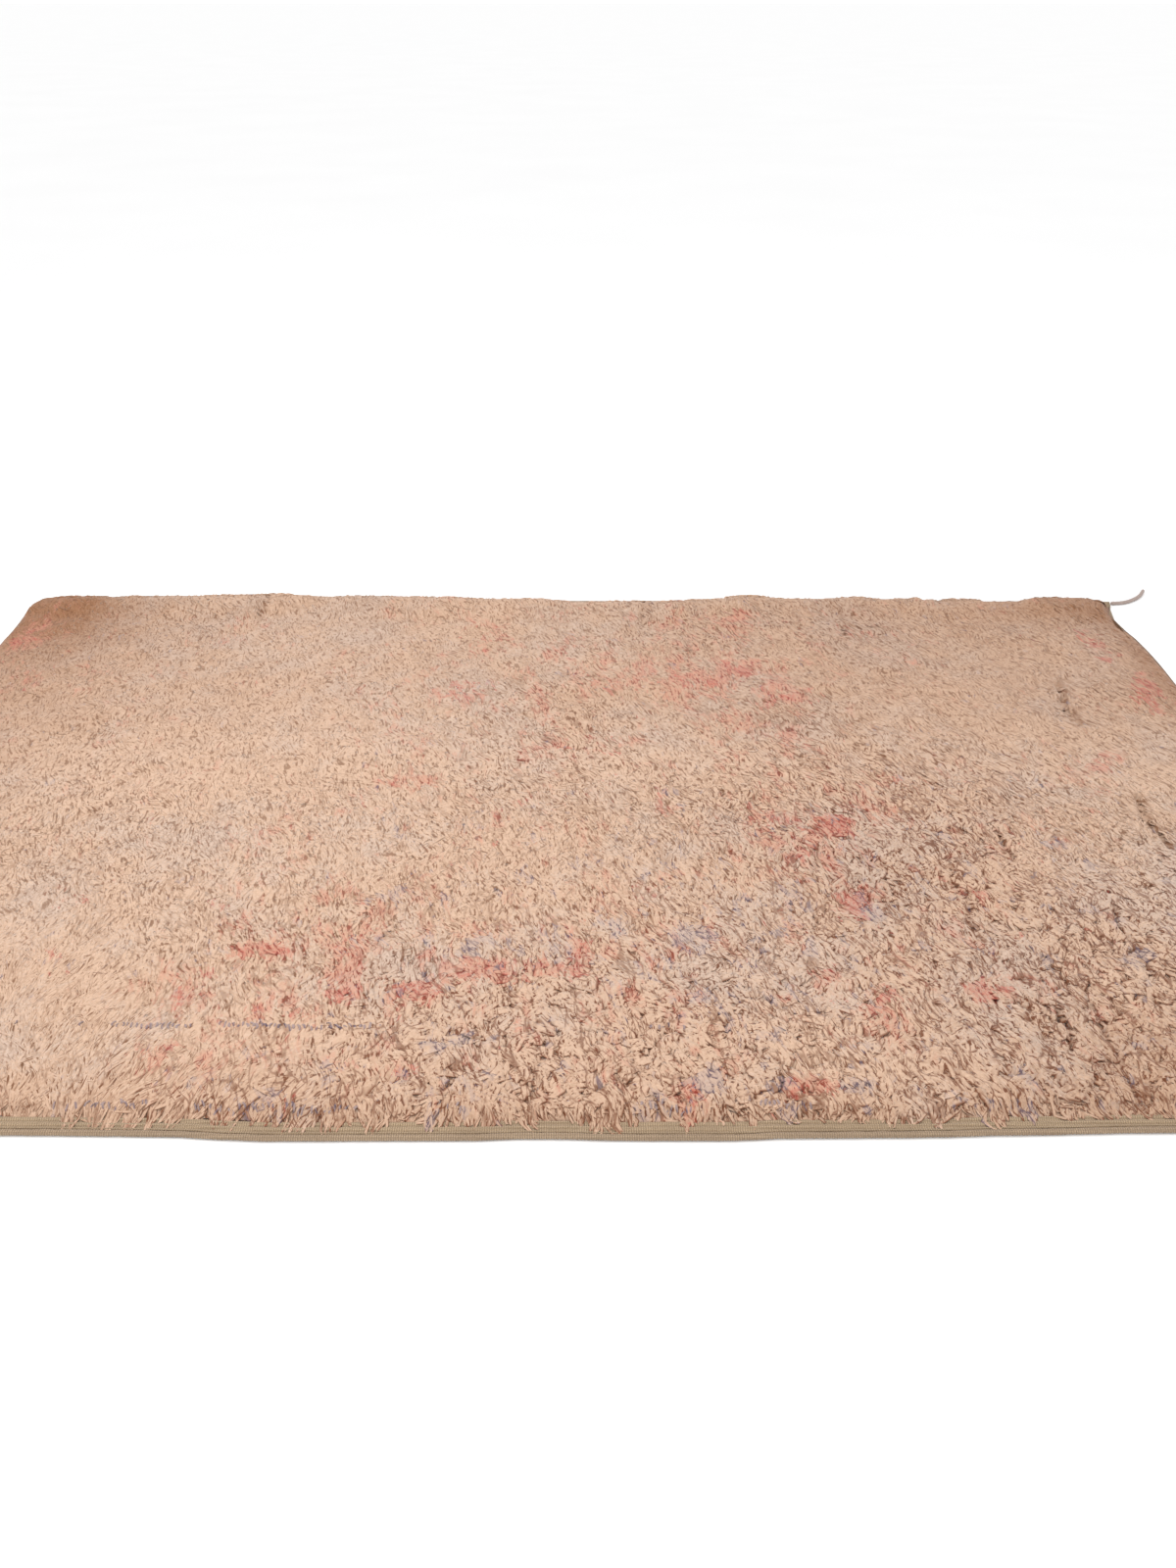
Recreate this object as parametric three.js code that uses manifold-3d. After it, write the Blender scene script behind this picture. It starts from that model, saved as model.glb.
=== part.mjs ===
// A hand-knotted wool shag rug lying on the floor: a woven ground, its shag pile, the overcast binding of
// both long edges and the rope-like tail of warps that is left at one corner.
// Millimetres, +Z up, +X along the long side, -Y the near long side, origin on the floor under the middle.
import * as THREE from "three";
import { mergeVertices } from "three/addons/utils/BufferGeometryUtils.js";
import Module from "manifold-3d";

const wasm = await Module();
wasm.setup();

// Driving dimensions of the rug.
const LENGTH = 3094;
const WIDTH = 1940;
const GROUND_THICKNESS = 4;
const GAP = 0.4;
const BINDING_WIDTH = 12;
const BINDING_HEIGHT = 9;
const BINDING_FOOT = 2;
const RIB_PITCH = 10;
const RIB_RISE = 2.5;
const SELVEDGE_BAND = 40;
const END_BAND = 14;
const PILE_TOP = 27;
const PILE_SHOULDER = 22;
const PILE_EDGE_TOP = 15;
const SHOULDER_WIDTH = 16;
const TUFT_RISE = 5;
const TUFT_PITCH = 68;
const STATION = LENGTH / 46;
const BELOW_FLOOR = -20;

// How far each edge lies outside (+) or inside (-) the straight rectangle, as the rug lies.
const NEAR_EDGE = [
  { at: -1547, out: -10 },
  { at: -850, out: -6 },
  { at: -650, out: -4 },
  { at: -470, out: 5 },
  { at: -150, out: 4 },
  { at: -40, out: 0 },
  { at: 90, out: 4 },
  { at: 270, out: 4 },
  { at: 330, out: 0 },
  { at: 570, out: -2 },
  { at: 690, out: -6 },
  { at: 930, out: -11 },
  { at: 1547, out: -14 },
];
const FAR_EDGE = [
  { at: -1547, out: 1 },
  { at: -1100, out: 5 },
  { at: -600, out: 4 },
  { at: -300, out: -5 },
  { at: 200, out: -5 },
  { at: 450, out: 1 },
  { at: 800, out: 0 },
  { at: 1050, out: -7 },
  { at: 1547, out: -11 },
];
const LEFT_END = [
  { at: -970, out: -5 },
  { at: -400, out: 3 },
  { at: 300, out: -4 },
  { at: 700, out: 4 },
  { at: 925, out: 10.4 },
  { at: 970, out: -16 },
];
const RIGHT_END = [
  { at: -970, out: -6 },
  { at: -500, out: 2 },
  { at: 0, out: -6 },
  { at: 500, out: 0 },
  { at: 728, out: -9 },
  { at: 825, out: -20 },
  { at: 970, out: 10 },
];

// Low ripples that lift the far edge off the floor, each dying out towards the middle of the rug.
const RIPPLES = [
  { x: -875, rise: 12, half: 130 },
  { x: -125, rise: 8, half: 110 },
  { x: 490, rise: 6, half: 110 },
  { x: 1385, rise: 14, half: 150 },
];
const RIPPLE_REACH = 300;

// Partings, where the pile falls to both sides of an old fold line that runs across the rug.
const PARTINGS = [
  { x: 1235, from: 200, to: 580, depth: 8 },
  { x: 1262, from: -230, to: -60, depth: 7 },
  { x: 1054, from: -640, to: -440, depth: 7 },
  { x: 936, from: -920, to: -590, depth: 8 },
  { x: 770, from: -540, to: -360, depth: 6 },
  { x: -864, from: 800, to: 960, depth: 6 },
  { x: 80, from: 860, to: 960, depth: 6 },
  { x: 545, from: 780, to: 960, depth: 6 },
];
const PARTING_HALF = 62;

const mix = THREE.MathUtils.lerp;
const smooth = (t) => THREE.MathUtils.smoothstep(t, 0, 1);

// The offset of an edge at a place along it, eased from row to row of its table.
function edgeOffset(rows, at) {
  const next = rows.findIndex((row) => row.at > at);
  if (next === 0) return rows[0].out;
  if (next < 0) return rows[rows.length - 1].out;
  const [a, b] = [rows[next - 1], rows[next]];
  return mix(a.out, b.out, smooth((at - a.at) / (b.at - a.at)));
}

function rippleLift(x, y) {
  const fade = smooth((y - WIDTH / 2 + RIPPLE_REACH) / RIPPLE_REACH);
  const waves = RIPPLES.map(({ x: middle, rise, half }) => {
    const off = Math.abs(x - middle) / half;
    return off < 1 ? rise * Math.cos((off * Math.PI) / 2) ** 2 : 0;
  });
  return fade * waves.reduce((sum, wave) => sum + wave, 0);
}

function partingDepth(x, y) {
  const depths = PARTINGS.map(({ x: middle, from, to, depth }) => {
    const off = Math.abs(x - middle) / PARTING_HALF;
    const past = Math.max(from - y, y - to, 0) / PARTING_HALF;
    return depth * (1 - smooth(off)) * (1 - smooth(past));
  });
  return Math.max(...depths);
}

// A steady number from 0 to 1 for a place, so that tufts differ and every build is alike.
function chance(x, y) {
  const turns = Math.sin(x * 12.9898 + y * 78.233) * 43758.5453;
  return turns - Math.floor(turns);
}

// Lays a geometry that was made on the straight rectangle into the rug's real outline and ripples.
function lay(geometry) {
  const points = geometry.attributes.position;
  for (let i = 0; i < points.count; i++) {
    const [x, y, z] = [points.getX(i), points.getY(i), points.getZ(i)];
    const sideways = mix(-edgeOffset(LEFT_END, y), edgeOffset(RIGHT_END, y), x / LENGTH + 0.5);
    const across = mix(-edgeOffset(NEAR_EDGE, x), edgeOffset(FAR_EDGE, x), y / WIDTH + 0.5);
    points.setXYZ(i, x + sideways, y + across, z + rippleLift(x, y));
  }
  return geometry;
}

function welded(geometry) {
  geometry.deleteAttribute("normal");
  geometry.deleteAttribute("uv");
  return mergeVertices(geometry, 1e-3);
}

function solidOf(geometry) {
  const closed = welded(geometry);
  const vertProperties = new Float32Array(closed.attributes.position.array);
  const triVerts = new Uint32Array(closed.index.array);
  return new wasm.Manifold(new wasm.Mesh({ numProp: 3, vertProperties, triVerts }));
}

function geometryOf(solid) {
  const { vertProperties, triVerts, numProp } = solid.getMesh();
  const corners = new THREE.InterleavedBuffer(new Float32Array(vertProperties), numProp);
  const geometry = new THREE.BufferGeometry();
  geometry.setAttribute("position", new THREE.InterleavedBufferAttribute(corners, 3, 0));
  geometry.setIndex(Array.from(triVerts));
  return geometry.toNonIndexed();
}

// A prism along X whose section is drawn across the rug, as [y, z] corners.
const ALONG_X = new THREE.Matrix4().makeBasis(
  new THREE.Vector3(0, 1, 0),
  new THREE.Vector3(0, 0, 1),
  new THREE.Vector3(1, 0, 0),
);
function sweptAlong(section, from, to) {
  const outline = new THREE.Shape(section.map(([y, z]) => new THREE.Vector2(y, z)));
  const steps = Math.round((to - from) / STATION);
  const prism = new THREE.ExtrudeGeometry(outline, { depth: to - from, steps, bevelEnabled: false });
  return welded(prism.applyMatrix4(ALONG_X).translate(from, 0, 0));
}

// Rows across the rug where the ground is flat, closer together where the ripples die out.
const HALF_WIDTH = WIDTH / 2;
const FLAT_ROWS = [-600, -200, 200, ...[4, 3, 2, 1].map((i) => HALF_WIDTH - (i * RIPPLE_REACH) / 4)];

// The top of the woven ground from the near edge to the far one: flat, with two ribs of thick warps at
// each selvedge.
function groundTop(raised) {
  const inner = HALF_WIDTH - BINDING_WIDTH - GAP;
  const ribs = [0, 1, 2, 3, 4].map((i) => [
    (RIB_PITCH * i) / 2,
    GROUND_THICKNESS + (i % 2) * RIB_RISE + raised,
  ]);
  const near = ribs.map(([inwards, z]) => [-inner + inwards, z]);
  const far = ribs.map(([inwards, z]) => [inner - inwards, z]).reverse();
  return [...near, ...FLAT_ROWS.map((y) => [y, GROUND_THICKNESS + raised]), ...far];
}

// The ground from a height below up to its top. What is cut from the pile is raised and runs past both
// ends, so that the pile clears the ground.
function groundSolid({ below, raised, past }) {
  const top = groundTop(raised);
  const edges = [top[0][0], top[top.length - 1][0]];
  const rows = [edges[0], ...FLAT_ROWS.filter((y) => y >= HALF_WIDTH - RIPPLE_REACH), edges[1]];
  const section = [...rows.map((y) => [y, below]), ...top.toReversed()];
  return lay(sweptAlong(section, -LENGTH / 2 - past, LENGTH / 2 + past));
}

// The overcast cord of one long edge: flat where it lies, rounded above.
function binding(side) {
  const half = BINDING_WIDTH / 2;
  const middle = side * (HALF_WIDTH - half);
  const crown = [0, 1, 2, 3, 4].map((i) => {
    const turn = (i * Math.PI) / 4;
    return [middle + half * Math.cos(turn), mix(BINDING_FOOT, BINDING_HEIGHT, Math.sin(turn))];
  });
  const section = [[middle - half, 0], [middle + half, 0], ...crown];
  return lay(sweptAlong(section, -LENGTH / 2, LENGTH / 2));
}

// The slab of pile before its locks: rows of tufts at their own heights, lower at the rim.
const RIM_X = LENGTH / 2 - END_BAND;
const RIM_Y = HALF_WIDTH - SELVEDGE_BAND;
function pileSlab() {
  const [edge, shoulder] = [RIM_Y, RIM_Y - SHOULDER_WIDTH];
  const rows = Math.round((2 * shoulder) / TUFT_PITCH);
  const top = Array.from({ length: rows + 1 }, (_, i) => [mix(shoulder, -shoulder, i / rows), PILE_TOP]);
  top[0][1] = top[rows][1] = PILE_SHOULDER;
  const base = [[-edge, BELOW_FLOOR], [edge, BELOW_FLOOR]];
  const section = [...base, [edge, PILE_EDGE_TOP], ...top, [-edge, PILE_EDGE_TOP]];
  const slab = sweptAlong(section, -RIM_X, RIM_X);
  const points = slab.attributes.position;
  for (let i = 0; i < points.count; i++) {
    const [x, y, z] = [points.getX(i), points.getY(i), points.getZ(i)];
    if (z < 0) continue;
    const fullness = z / PILE_TOP;
    const inside = smooth((RIM_X - Math.abs(x)) / (1.5 * TUFT_PITCH));
    const tuft = 2 * TUFT_RISE * (chance(Math.round(x), Math.round(y)) - 0.5) - partingDepth(x, y);
    points.setZ(i, fullness * mix(PILE_EDGE_TOP, PILE_TOP + tuft, inside));
  }
  return lay(slab);
}

// One lock of pile at the rim: a four-sided tapering finger that leans outwards and droops.
const LOCK = { rootIn: 26, halfWidth: 19, halfHeight: 6.5, rootZ: 12.5, tipZ: 9 };
function rimLock({ x, y, turn, longest, index }) {
  const shape = new THREE.ConeGeometry(1, 1, 4, 1);
  const reach = longest * mix(0.5, 1, chance(index, 1));
  const lean = chance(index, 2) - 0.5;
  const points = shape.attributes.position;
  for (let i = 0; i < points.count; i++) {
    const share = points.getY(i) + 0.5;
    const away = mix(-LOCK.rootIn, reach, share);
    const aside = points.getX(i) * LOCK.halfWidth + away * lean;
    const height = mix(LOCK.rootZ, LOCK.tipZ, share) + points.getZ(i) * LOCK.halfHeight;
    points.setXYZ(i, aside, away, height);
  }
  return lay(shape.rotateZ(turn).translate(x, y, 0));
}

// The rim's four stretches, each turned so that its locks point away from the pile.
const CORNER_CLEAR = 20;
const RIM_STRETCHES = [
  { turn: 0, half: RIM_X, away: RIM_Y, count: 72, longest: 25 },
  { turn: Math.PI, half: RIM_X, away: RIM_Y, count: 72, longest: 25 },
  { turn: Math.PI / 2, half: RIM_Y, away: RIM_X, count: 44, longest: 13 },
  { turn: -Math.PI / 2, half: RIM_Y, away: RIM_X, count: 44, longest: 13 },
];
function rimLocks() {
  return RIM_STRETCHES.flatMap(({ turn, half, away, count, longest }, stretch) =>
    Array.from({ length: count }, (_, i) => {
      const along = mix(-1, 1, i / (count - 1)) * (half - CORNER_CLEAR);
      const root = new THREE.Vector2(along, away).rotateAround(new THREE.Vector2(), turn);
      return rimLock({ x: root.x, y: root.y, turn, longest, index: 100 * stretch + i });
    }),
  );
}

function shagPile() {
  const underside = groundSolid({ below: 2 * BELOW_FLOOR, raised: GAP, past: STATION });
  const slab = solidOf(pileSlab()).subtract(solidOf(underside));
  return geometryOf(wasm.Manifold.union([slab, ...rimLocks().map(solidOf)]));
}

// The tail at the far right corner, three strands of warp twisted into a rope that lies on the floor.
const TAIL = { radius: 4.5, waist: 0.76, strands: 3, turn: 36, steps: 60 };
const TAIL_ROUTE = [
  { x: 1557.4, y: 953 },
  { x: 1568, y: 953 },
  { x: 1580, y: 954 },
  { x: 1592, y: 956.5 },
  { x: 1603, y: 960.5 },
  { x: 1614, y: 966 },
  { x: 1625, y: 973 },
  { x: 1635, y: 980.5 },
  { x: 1645, y: 988.5 },
  { x: 1654, y: 997 },
  { x: 1662, y: 1006 },
  { x: 1669, y: 1015.5 },
  { x: 1675, y: 1025 },
  { x: 1680.5, y: 1034 },
  { x: 1686, y: 1042 },
];
function cornerTail() {
  const middles = TAIL_ROUTE.map(({ x, y }) => new THREE.Vector3(x, y, TAIL.radius));
  const route = new THREE.CatmullRomCurve3(middles);
  const length = route.getLength();
  const section = Array.from({ length: 3 * TAIL.strands }, (_, i) => {
    const radius = TAIL.radius * (i % 3 ? 1 : TAIL.waist);
    const turn = (2 * Math.PI * i) / (3 * TAIL.strands);
    return new THREE.Vector2(radius * Math.cos(turn), radius * Math.sin(turn));
  });
  const settings = { depth: length, steps: TAIL.steps, bevelEnabled: false };
  const rope = new THREE.ExtrudeGeometry(new THREE.Shape(section), settings);
  const points = rope.attributes.position;
  for (let i = 0; i < points.count; i++) {
    const along = points.getZ(i);
    const [middle, ahead] = [route.getPointAt(along / length), route.getTangentAt(along / length)];
    const corner = new THREE.Vector2(points.getX(i), points.getY(i));
    corner.rotateAround(new THREE.Vector2(), (2 * Math.PI * along) / TAIL.turn);
    points.setXYZ(i, middle.x - ahead.y * corner.x, middle.y + ahead.x * corner.x, middle.z + corner.y);
  }
  return rope;
}

function piece(name, geometry, color) {
  const wool = new THREE.MeshStandardMaterial({ color, roughness: 0.95, metalness: 0 });
  const mesh = new THREE.Mesh(geometry, wool);
  mesh.name = name;
  return mesh;
}

const rug = new THREE.Group();
rug.add(
  piece("ground_weave", groundSolid({ below: 0, raised: 0, past: 0 }), 0xb79c74),
  piece("selvedge_binding_near", binding(-1), 0xa88c66),
  piece("selvedge_binding_far", binding(1), 0xa88c66),
  piece("shag_pile", shagPile(), 0xdcb394),
  piece("corner_tail", cornerTail(), 0x9a8478),
);

export default rug;
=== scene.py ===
# %% [markdown]
# # A faded shag rug of hand-knotted wool
#
# An old hand-knotted rug is a flat cloth of warps and wefts with tens of thousands of wool knots tied into
# it. The long ends of those knots fall over each other as shag. This lesson builds the cloth, the cords
# along its edges, the felted roots of the pile and then every lock of wool, each with its own place,
# bend and faded dye. The rug's size and outline come from the packed model, which is never changed.

# %% The packed model is the fixed frame
import math

import bmesh
import bpy
import numpy as np
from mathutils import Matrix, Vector
from mathutils.bvhtree import BVHTree


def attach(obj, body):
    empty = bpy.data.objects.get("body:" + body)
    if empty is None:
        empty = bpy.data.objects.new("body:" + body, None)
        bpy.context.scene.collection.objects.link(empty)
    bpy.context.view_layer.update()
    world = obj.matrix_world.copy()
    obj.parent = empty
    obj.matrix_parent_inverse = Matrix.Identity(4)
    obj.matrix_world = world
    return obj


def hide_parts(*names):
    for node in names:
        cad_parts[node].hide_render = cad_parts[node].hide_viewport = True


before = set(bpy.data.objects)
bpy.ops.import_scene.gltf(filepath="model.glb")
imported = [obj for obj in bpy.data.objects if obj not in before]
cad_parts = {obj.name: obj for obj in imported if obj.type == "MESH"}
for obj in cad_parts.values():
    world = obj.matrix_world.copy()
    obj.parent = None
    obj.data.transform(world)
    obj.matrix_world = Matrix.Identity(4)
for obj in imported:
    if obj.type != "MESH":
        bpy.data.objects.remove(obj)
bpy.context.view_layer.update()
scene = bpy.context.scene
MM = 0.001

# %% [markdown]
# ## Camera
#
# The picture was taken standing, with a wide lens tilted down. Its short ends run to a point near the top
# of the image, which gives the tilt, and the spread of the long edges gives the height. Blender measures
# a lens against the longer side of the image, so 1200 pixels of focal length on 1600 pixels of height
# make a 27 mm lens on a 36 mm sensor.

# %% Camera
IMAGE_HEIGHT = 1600
FOCAL_PIXELS = 1200
SENSOR_MM = 36.0
CAMERA_PLACE = (0.037, -2.175, 1.48)
CAMERA_TILT_DEG = 33.99

camera = bpy.data.objects.new("camera", bpy.data.cameras.new("camera"))
camera.data.sensor_width = SENSOR_MM
camera.data.lens = SENSOR_MM * FOCAL_PIXELS / IMAGE_HEIGHT
camera.location = CAMERA_PLACE
camera.rotation_euler = (math.radians(90 - CAMERA_TILT_DEG), 0, 0)
scene.collection.objects.link(camera)
scene.camera = camera
print(f"Camera with a {camera.data.lens:.0f} mm lens, tilted down by {CAMERA_TILT_DEG} degrees")

# %% [markdown]
# ## Corner tail: its route first
#
# A cord's real length has to be right before its looks, so its route is settled here, where it can be
# checked against the camera. The far right corner ends in a short rope of leftover warps. It leaves the
# edge cord straight, then turns away over the floor.

# %% Route of the corner tail
TAIL_RADIUS = 4.5 * MM
TAIL_ROUTE_MM = [
    (1557.4, 953), (1568, 953), (1580, 954), (1592, 956.5), (1603, 960.5),
    (1614, 966), (1625, 973), (1635, 980.5), (1645, 988.5), (1654, 997),
    (1662, 1006), (1669, 1015.5), (1675, 1025), (1680.5, 1034), (1686, 1042),
]
tail_route = [Vector((x * MM, y * MM, TAIL_RADIUS)) for x, y in TAIL_ROUTE_MM]
tail_length = sum((b - a).length for a, b in zip(tail_route, tail_route[1:]))
print(f"The tail is {tail_length:.3f} m long")

# %% [markdown]
# ## Floor and light
#
# The rug is shown on white, so the floor is a pale plane that reaches far past the view. The light is
# a white surrounding with one broad soft lamp high on the camera's side: wool has no gloss, so its form
# shows only by the soft shade between locks, and a hard lamp would make that shade black.

# %% Floor and light
FLOOR_SIDE = 400.0
FLOOR_DROP = 0.5 * MM
SURROUND_STRENGTH = 1.05
LAMP_PLACE = (-0.8, -0.6, 3.1)
LAMP_SIDE = 3.0
LAMP_POWER = 55.0

bm = bmesh.new()
bmesh.ops.create_grid(bm, x_segments=1, y_segments=1, size=FLOOR_SIDE / 2)
bmesh.ops.translate(bm, verts=bm.verts, vec=(0, 0, -FLOOR_DROP))
floor_mesh = bpy.data.meshes.new("floor")
bm.to_mesh(floor_mesh)
bm.free()
floor = bpy.data.objects.new("floor", floor_mesh)
scene.collection.objects.link(floor)

world = bpy.data.worlds.new("surround")
world.use_nodes = True
world.node_tree.nodes["Background"].inputs["Color"].default_value = (1, 1, 1, 1)
world.node_tree.nodes["Background"].inputs["Strength"].default_value = SURROUND_STRENGTH
scene.world = world

lamp = bpy.data.objects.new("softbox", bpy.data.lights.new("softbox", "AREA"))
lamp.data.size = LAMP_SIDE
lamp.data.energy = LAMP_POWER
lamp.location = LAMP_PLACE
lamp.rotation_euler = (-Vector(LAMP_PLACE)).to_track_quat("-Z", "Y").to_euler()
scene.collection.objects.link(lamp)
scene.view_settings.view_transform = "Standard"
print(f"Lamp {LAMP_SIDE:.0f} m wide, {LAMP_PLACE[2]} m over the floor")

# %% [markdown]
# ## Reading the rug's shape from the frame
#
# An old rug is never quite straight. Rather than repeat its outline, the edges are read from the packed
# solids: the outermost points of the edge cords for the long sides and of the ground for the short ends.
# `lay_out` then maps a plain rectangle onto the real outline, so that all pieces can be made straight.

# %% The real outline
def points_of(*nodes):
    """The corners of some CAD nodes, as rows of x, y and z in metres."""
    found = []
    for node in nodes:
        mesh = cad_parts[node].data
        flat = np.empty(3 * len(mesh.vertices), np.float32)
        mesh.vertices.foreach_get("co", flat)
        found.append(flat.reshape(-1, 3).astype(float))
    return np.concatenate(found)


def long_edge(node, side, stations):
    """How far out a long edge lies at each station along the rug."""
    points = points_of(node)
    reach = 0.5 * (stations[1] - stations[0])
    at = [points[np.abs(points[:, 0] - x) <= reach, 1] for x in stations]
    return np.array([side * (side * y).max() for y in at])


rug_points = points_of("ground_weave", "selvedge_binding_near", "selvedge_binding_far")
HALF_LENGTH = 0.5 * np.ptp(rug_points[:, 0])
HALF_WIDTH = 0.5 * np.ptp(rug_points[:, 1])
CAD_STATIONS = 47
STATION_INSET = 0.01
first_x, last_x = rug_points[:, 0].min() + STATION_INSET, rug_points[:, 0].max() - STATION_INSET
edge_x = np.linspace(first_x, last_x, CAD_STATIONS)
near_y = long_edge("selvedge_binding_near", -1, edge_x)
far_y = long_edge("selvedge_binding_far", 1, edge_x)
END_ZONE = 0.03
left = rug_points[rug_points[:, 0] < -HALF_LENGTH + END_ZONE]
right = rug_points[rug_points[:, 0] > HALF_LENGTH - END_ZONE]
left, right = left[np.argsort(left[:, 1])], right[np.argsort(right[:, 1])]
# The short ends swell a little past the solids or stay behind them: y, half-width and how far out.
LEFT_BULGES = [(0.74, 0.16, 12 * MM), (0.90, 0.05, 10 * MM)]
RIGHT_BULGES = [(0.90, 0.06, -17 * MM), (0.60, 0.16, 8 * MM)]


def bulges(y, places):
    """The sum of soft waves along an edge: the middle, half-width and height of each."""
    return sum(out * np.exp(-(((y - middle) / half) ** 2)) for middle, half, out in places)


def lay_out(x, y):
    """Moves places on the plain rectangle to where they lie on the real rug."""
    end_left = np.interp(y, left[:, 1], left[:, 0]) - bulges(y, LEFT_BULGES)
    end_right = np.interp(y, right[:, 1], right[:, 0]) + bulges(y, RIGHT_BULGES)
    side_near = np.interp(x, edge_x, near_y)
    side_far = np.interp(x, edge_x, far_y)
    along = 0.5 * (x / HALF_LENGTH + 1)
    across = 0.5 * (y / HALF_WIDTH + 1)
    return end_left + (end_right - end_left) * along, side_near + (side_far - side_near) * across


print(f"Rug about {2 * HALF_LENGTH:.3f} m by {2 * HALF_WIDTH:.3f} m")

# %% [markdown]
# The heights come from the same solids. Rays are cast down onto the pile and up onto the ground once, on
# a grid of two centimetres, and every later piece reads that grid by mixing the four heights round a
# place, which is much faster than a ray for each of its points.

# %% Height maps
MAP_PITCH = 0.02
INSIDE_LAST = 1.001
map_x = np.arange(-HALF_LENGTH, HALF_LENGTH + MAP_PITCH, MAP_PITCH)
map_y = np.arange(-HALF_WIDTH, HALF_WIDTH + MAP_PITCH, MAP_PITCH)


def height_map(node, heading, otherwise):
    """Where rays that run up (heading 1) or down (-1) first meet a node."""
    depsgraph = bpy.context.evaluated_depsgraph_get()
    tree = BVHTree.FromObject(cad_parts[node], depsgraph)
    ray = Vector((0, 0, heading))
    heights = np.full((len(map_x), len(map_y)), otherwise)
    for i, x in enumerate(map_x):
        for j, y in enumerate(map_y):
            hit = tree.ray_cast(Vector((x, y, -heading)), ray)[0]
            if hit is not None:
                heights[i, j] = hit.z
    return heights


def mixed(grid, i, j, share_i, share_j):
    """A mix of a grid's four values round some places. The grid starts again past its end."""
    i0, i1 = i % grid.shape[0], (i + 1) % grid.shape[0]
    j0, j1 = j % grid.shape[1], (j + 1) % grid.shape[1]
    low = grid[i0, j0] * (1 - share_j) + grid[i0, j1] * share_j
    high = grid[i1, j0] * (1 - share_j) + grid[i1, j1] * share_j
    return low * (1 - share_i) + high * share_i


def read_map(heights, x, y):
    """A height map's value at any places."""
    u = np.clip((x - map_x[0]) / MAP_PITCH, 0, len(map_x) - INSIDE_LAST)
    v = np.clip((y - map_y[0]) / MAP_PITCH, 0, len(map_y) - INSIDE_LAST)
    i, j = u.astype(int), v.astype(int)
    return mixed(heights, i, j, u - i, v - j)


lift_map = height_map("ground_weave", 1, 0.0)
PILE_TYPICAL = 24 * MM
pile_map = height_map("shag_pile", -1, PILE_TYPICAL)
print(f"Ripples lift the ground by up to {lift_map.max() / MM:.0f} mm")

# %% [markdown]
# ## Smooth chance
#
# Hand work is irregular but not random: neighbours are alike. A lattice of random values with smooth steps
# between them gives that, and the same seed gives the same rug each time.

# %% Smooth chance
LATTICE = 128


def ease(t):
    """0 up to 0, 1 from 1 on, and smooth between."""
    t = np.clip(t, 0, 1)
    return t * t * (3 - 2 * t)


def drift(x, y, pitch, seed):
    """Values from -1 to 1 that change smoothly over about one pitch."""
    lattice = np.random.default_rng(seed).uniform(-1, 1, (LATTICE, LATTICE))
    u, v = x / pitch + LATTICE / 2, y / pitch + LATTICE / 2
    i, j = np.floor(u).astype(int), np.floor(v).astype(int)
    return mixed(lattice, i, j, ease(u - i), ease(v - j))


def ragged(x, y, pitch, seed):
    """Drift with a finer drift on top of it."""
    return 0.62 * drift(x, y, pitch, seed) + 0.38 * drift(x, y, 0.41 * pitch, seed + 1)


print(f"Smooth chance at the rug's middle: {ragged(0.0, 0.0, 0.1, 1):.2f}")

# %% [markdown]
# ## How the pile lies
#
# Wool knots felt together into tufts a few centimetres wide. Each tuft is a small mound, and its locks fall
# outwards over its sides. Tufts could be drawn one by one, but they are the cells round a shifted lattice
# of centres, because that fills the whole rug: the nearest centre owns the place, and the difference to
# the second nearest says how close the border between two tufts is.

# %% Tufts
TUFT_PITCH = 0.032
TUFT_SHIFT = 0.45
TUFT_WARP = 0.012
TUFT_BORDER = 0.3
NO_TUFT_YET = 9.0
tuft_rng = np.random.default_rng(11)
tuft_shifts = tuft_rng.uniform(-TUFT_SHIFT, TUFT_SHIFT, (LATTICE, LATTICE, 2))
tuft_chances = tuft_rng.uniform(-1, 1, (LATTICE, LATTICE, 3))


def tufts(x, y):
    """Each place's tuft: its centre, how far inside it the place is, and three chance values of its own."""
    u = (x + TUFT_WARP * drift(x, y, 0.05, 23)) / TUFT_PITCH + LATTICE / 2
    v = (y + TUFT_WARP * drift(x, y, 0.05, 24)) / TUFT_PITCH + LATTICE / 2
    first, second = np.full((2, *x.shape), NO_TUFT_YET)
    found = np.zeros((4,) + x.shape)
    for step_u in (-1, 0, 1):
        for step_v in (-1, 0, 1):
            i, j = np.floor(u) + step_u, np.floor(v) + step_v
            wrapped_i, wrapped_j = i.astype(int) % LATTICE, j.astype(int) % LATTICE
            shift = tuft_shifts[wrapped_i, wrapped_j]
            here = np.stack([i + 0.5 + shift[..., 0], j + 0.5 + shift[..., 1], wrapped_i, wrapped_j])
            far = np.hypot(u - here[0], v - here[1])
            closer = far < first
            second = np.where(closer, first, np.minimum(second, far))
            first = np.where(closer, far, first)
            found = np.where(closer, here, found)
    centre = (found[:2] - LATTICE / 2) * TUFT_PITCH
    chances = tuft_chances[found[2].astype(int), found[3].astype(int)]
    cracked = ease((drift(x, y, 0.024, 25) + 0.3) / 0.7)
    inside = 1 - cracked * (1 - ease((second - first) / TUFT_BORDER))
    return centre[0], centre[1], inside, chances


print("Tufts on the rug: about", int(4 * HALF_LENGTH * HALF_WIDTH / TUFT_PITCH ** 2))
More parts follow.
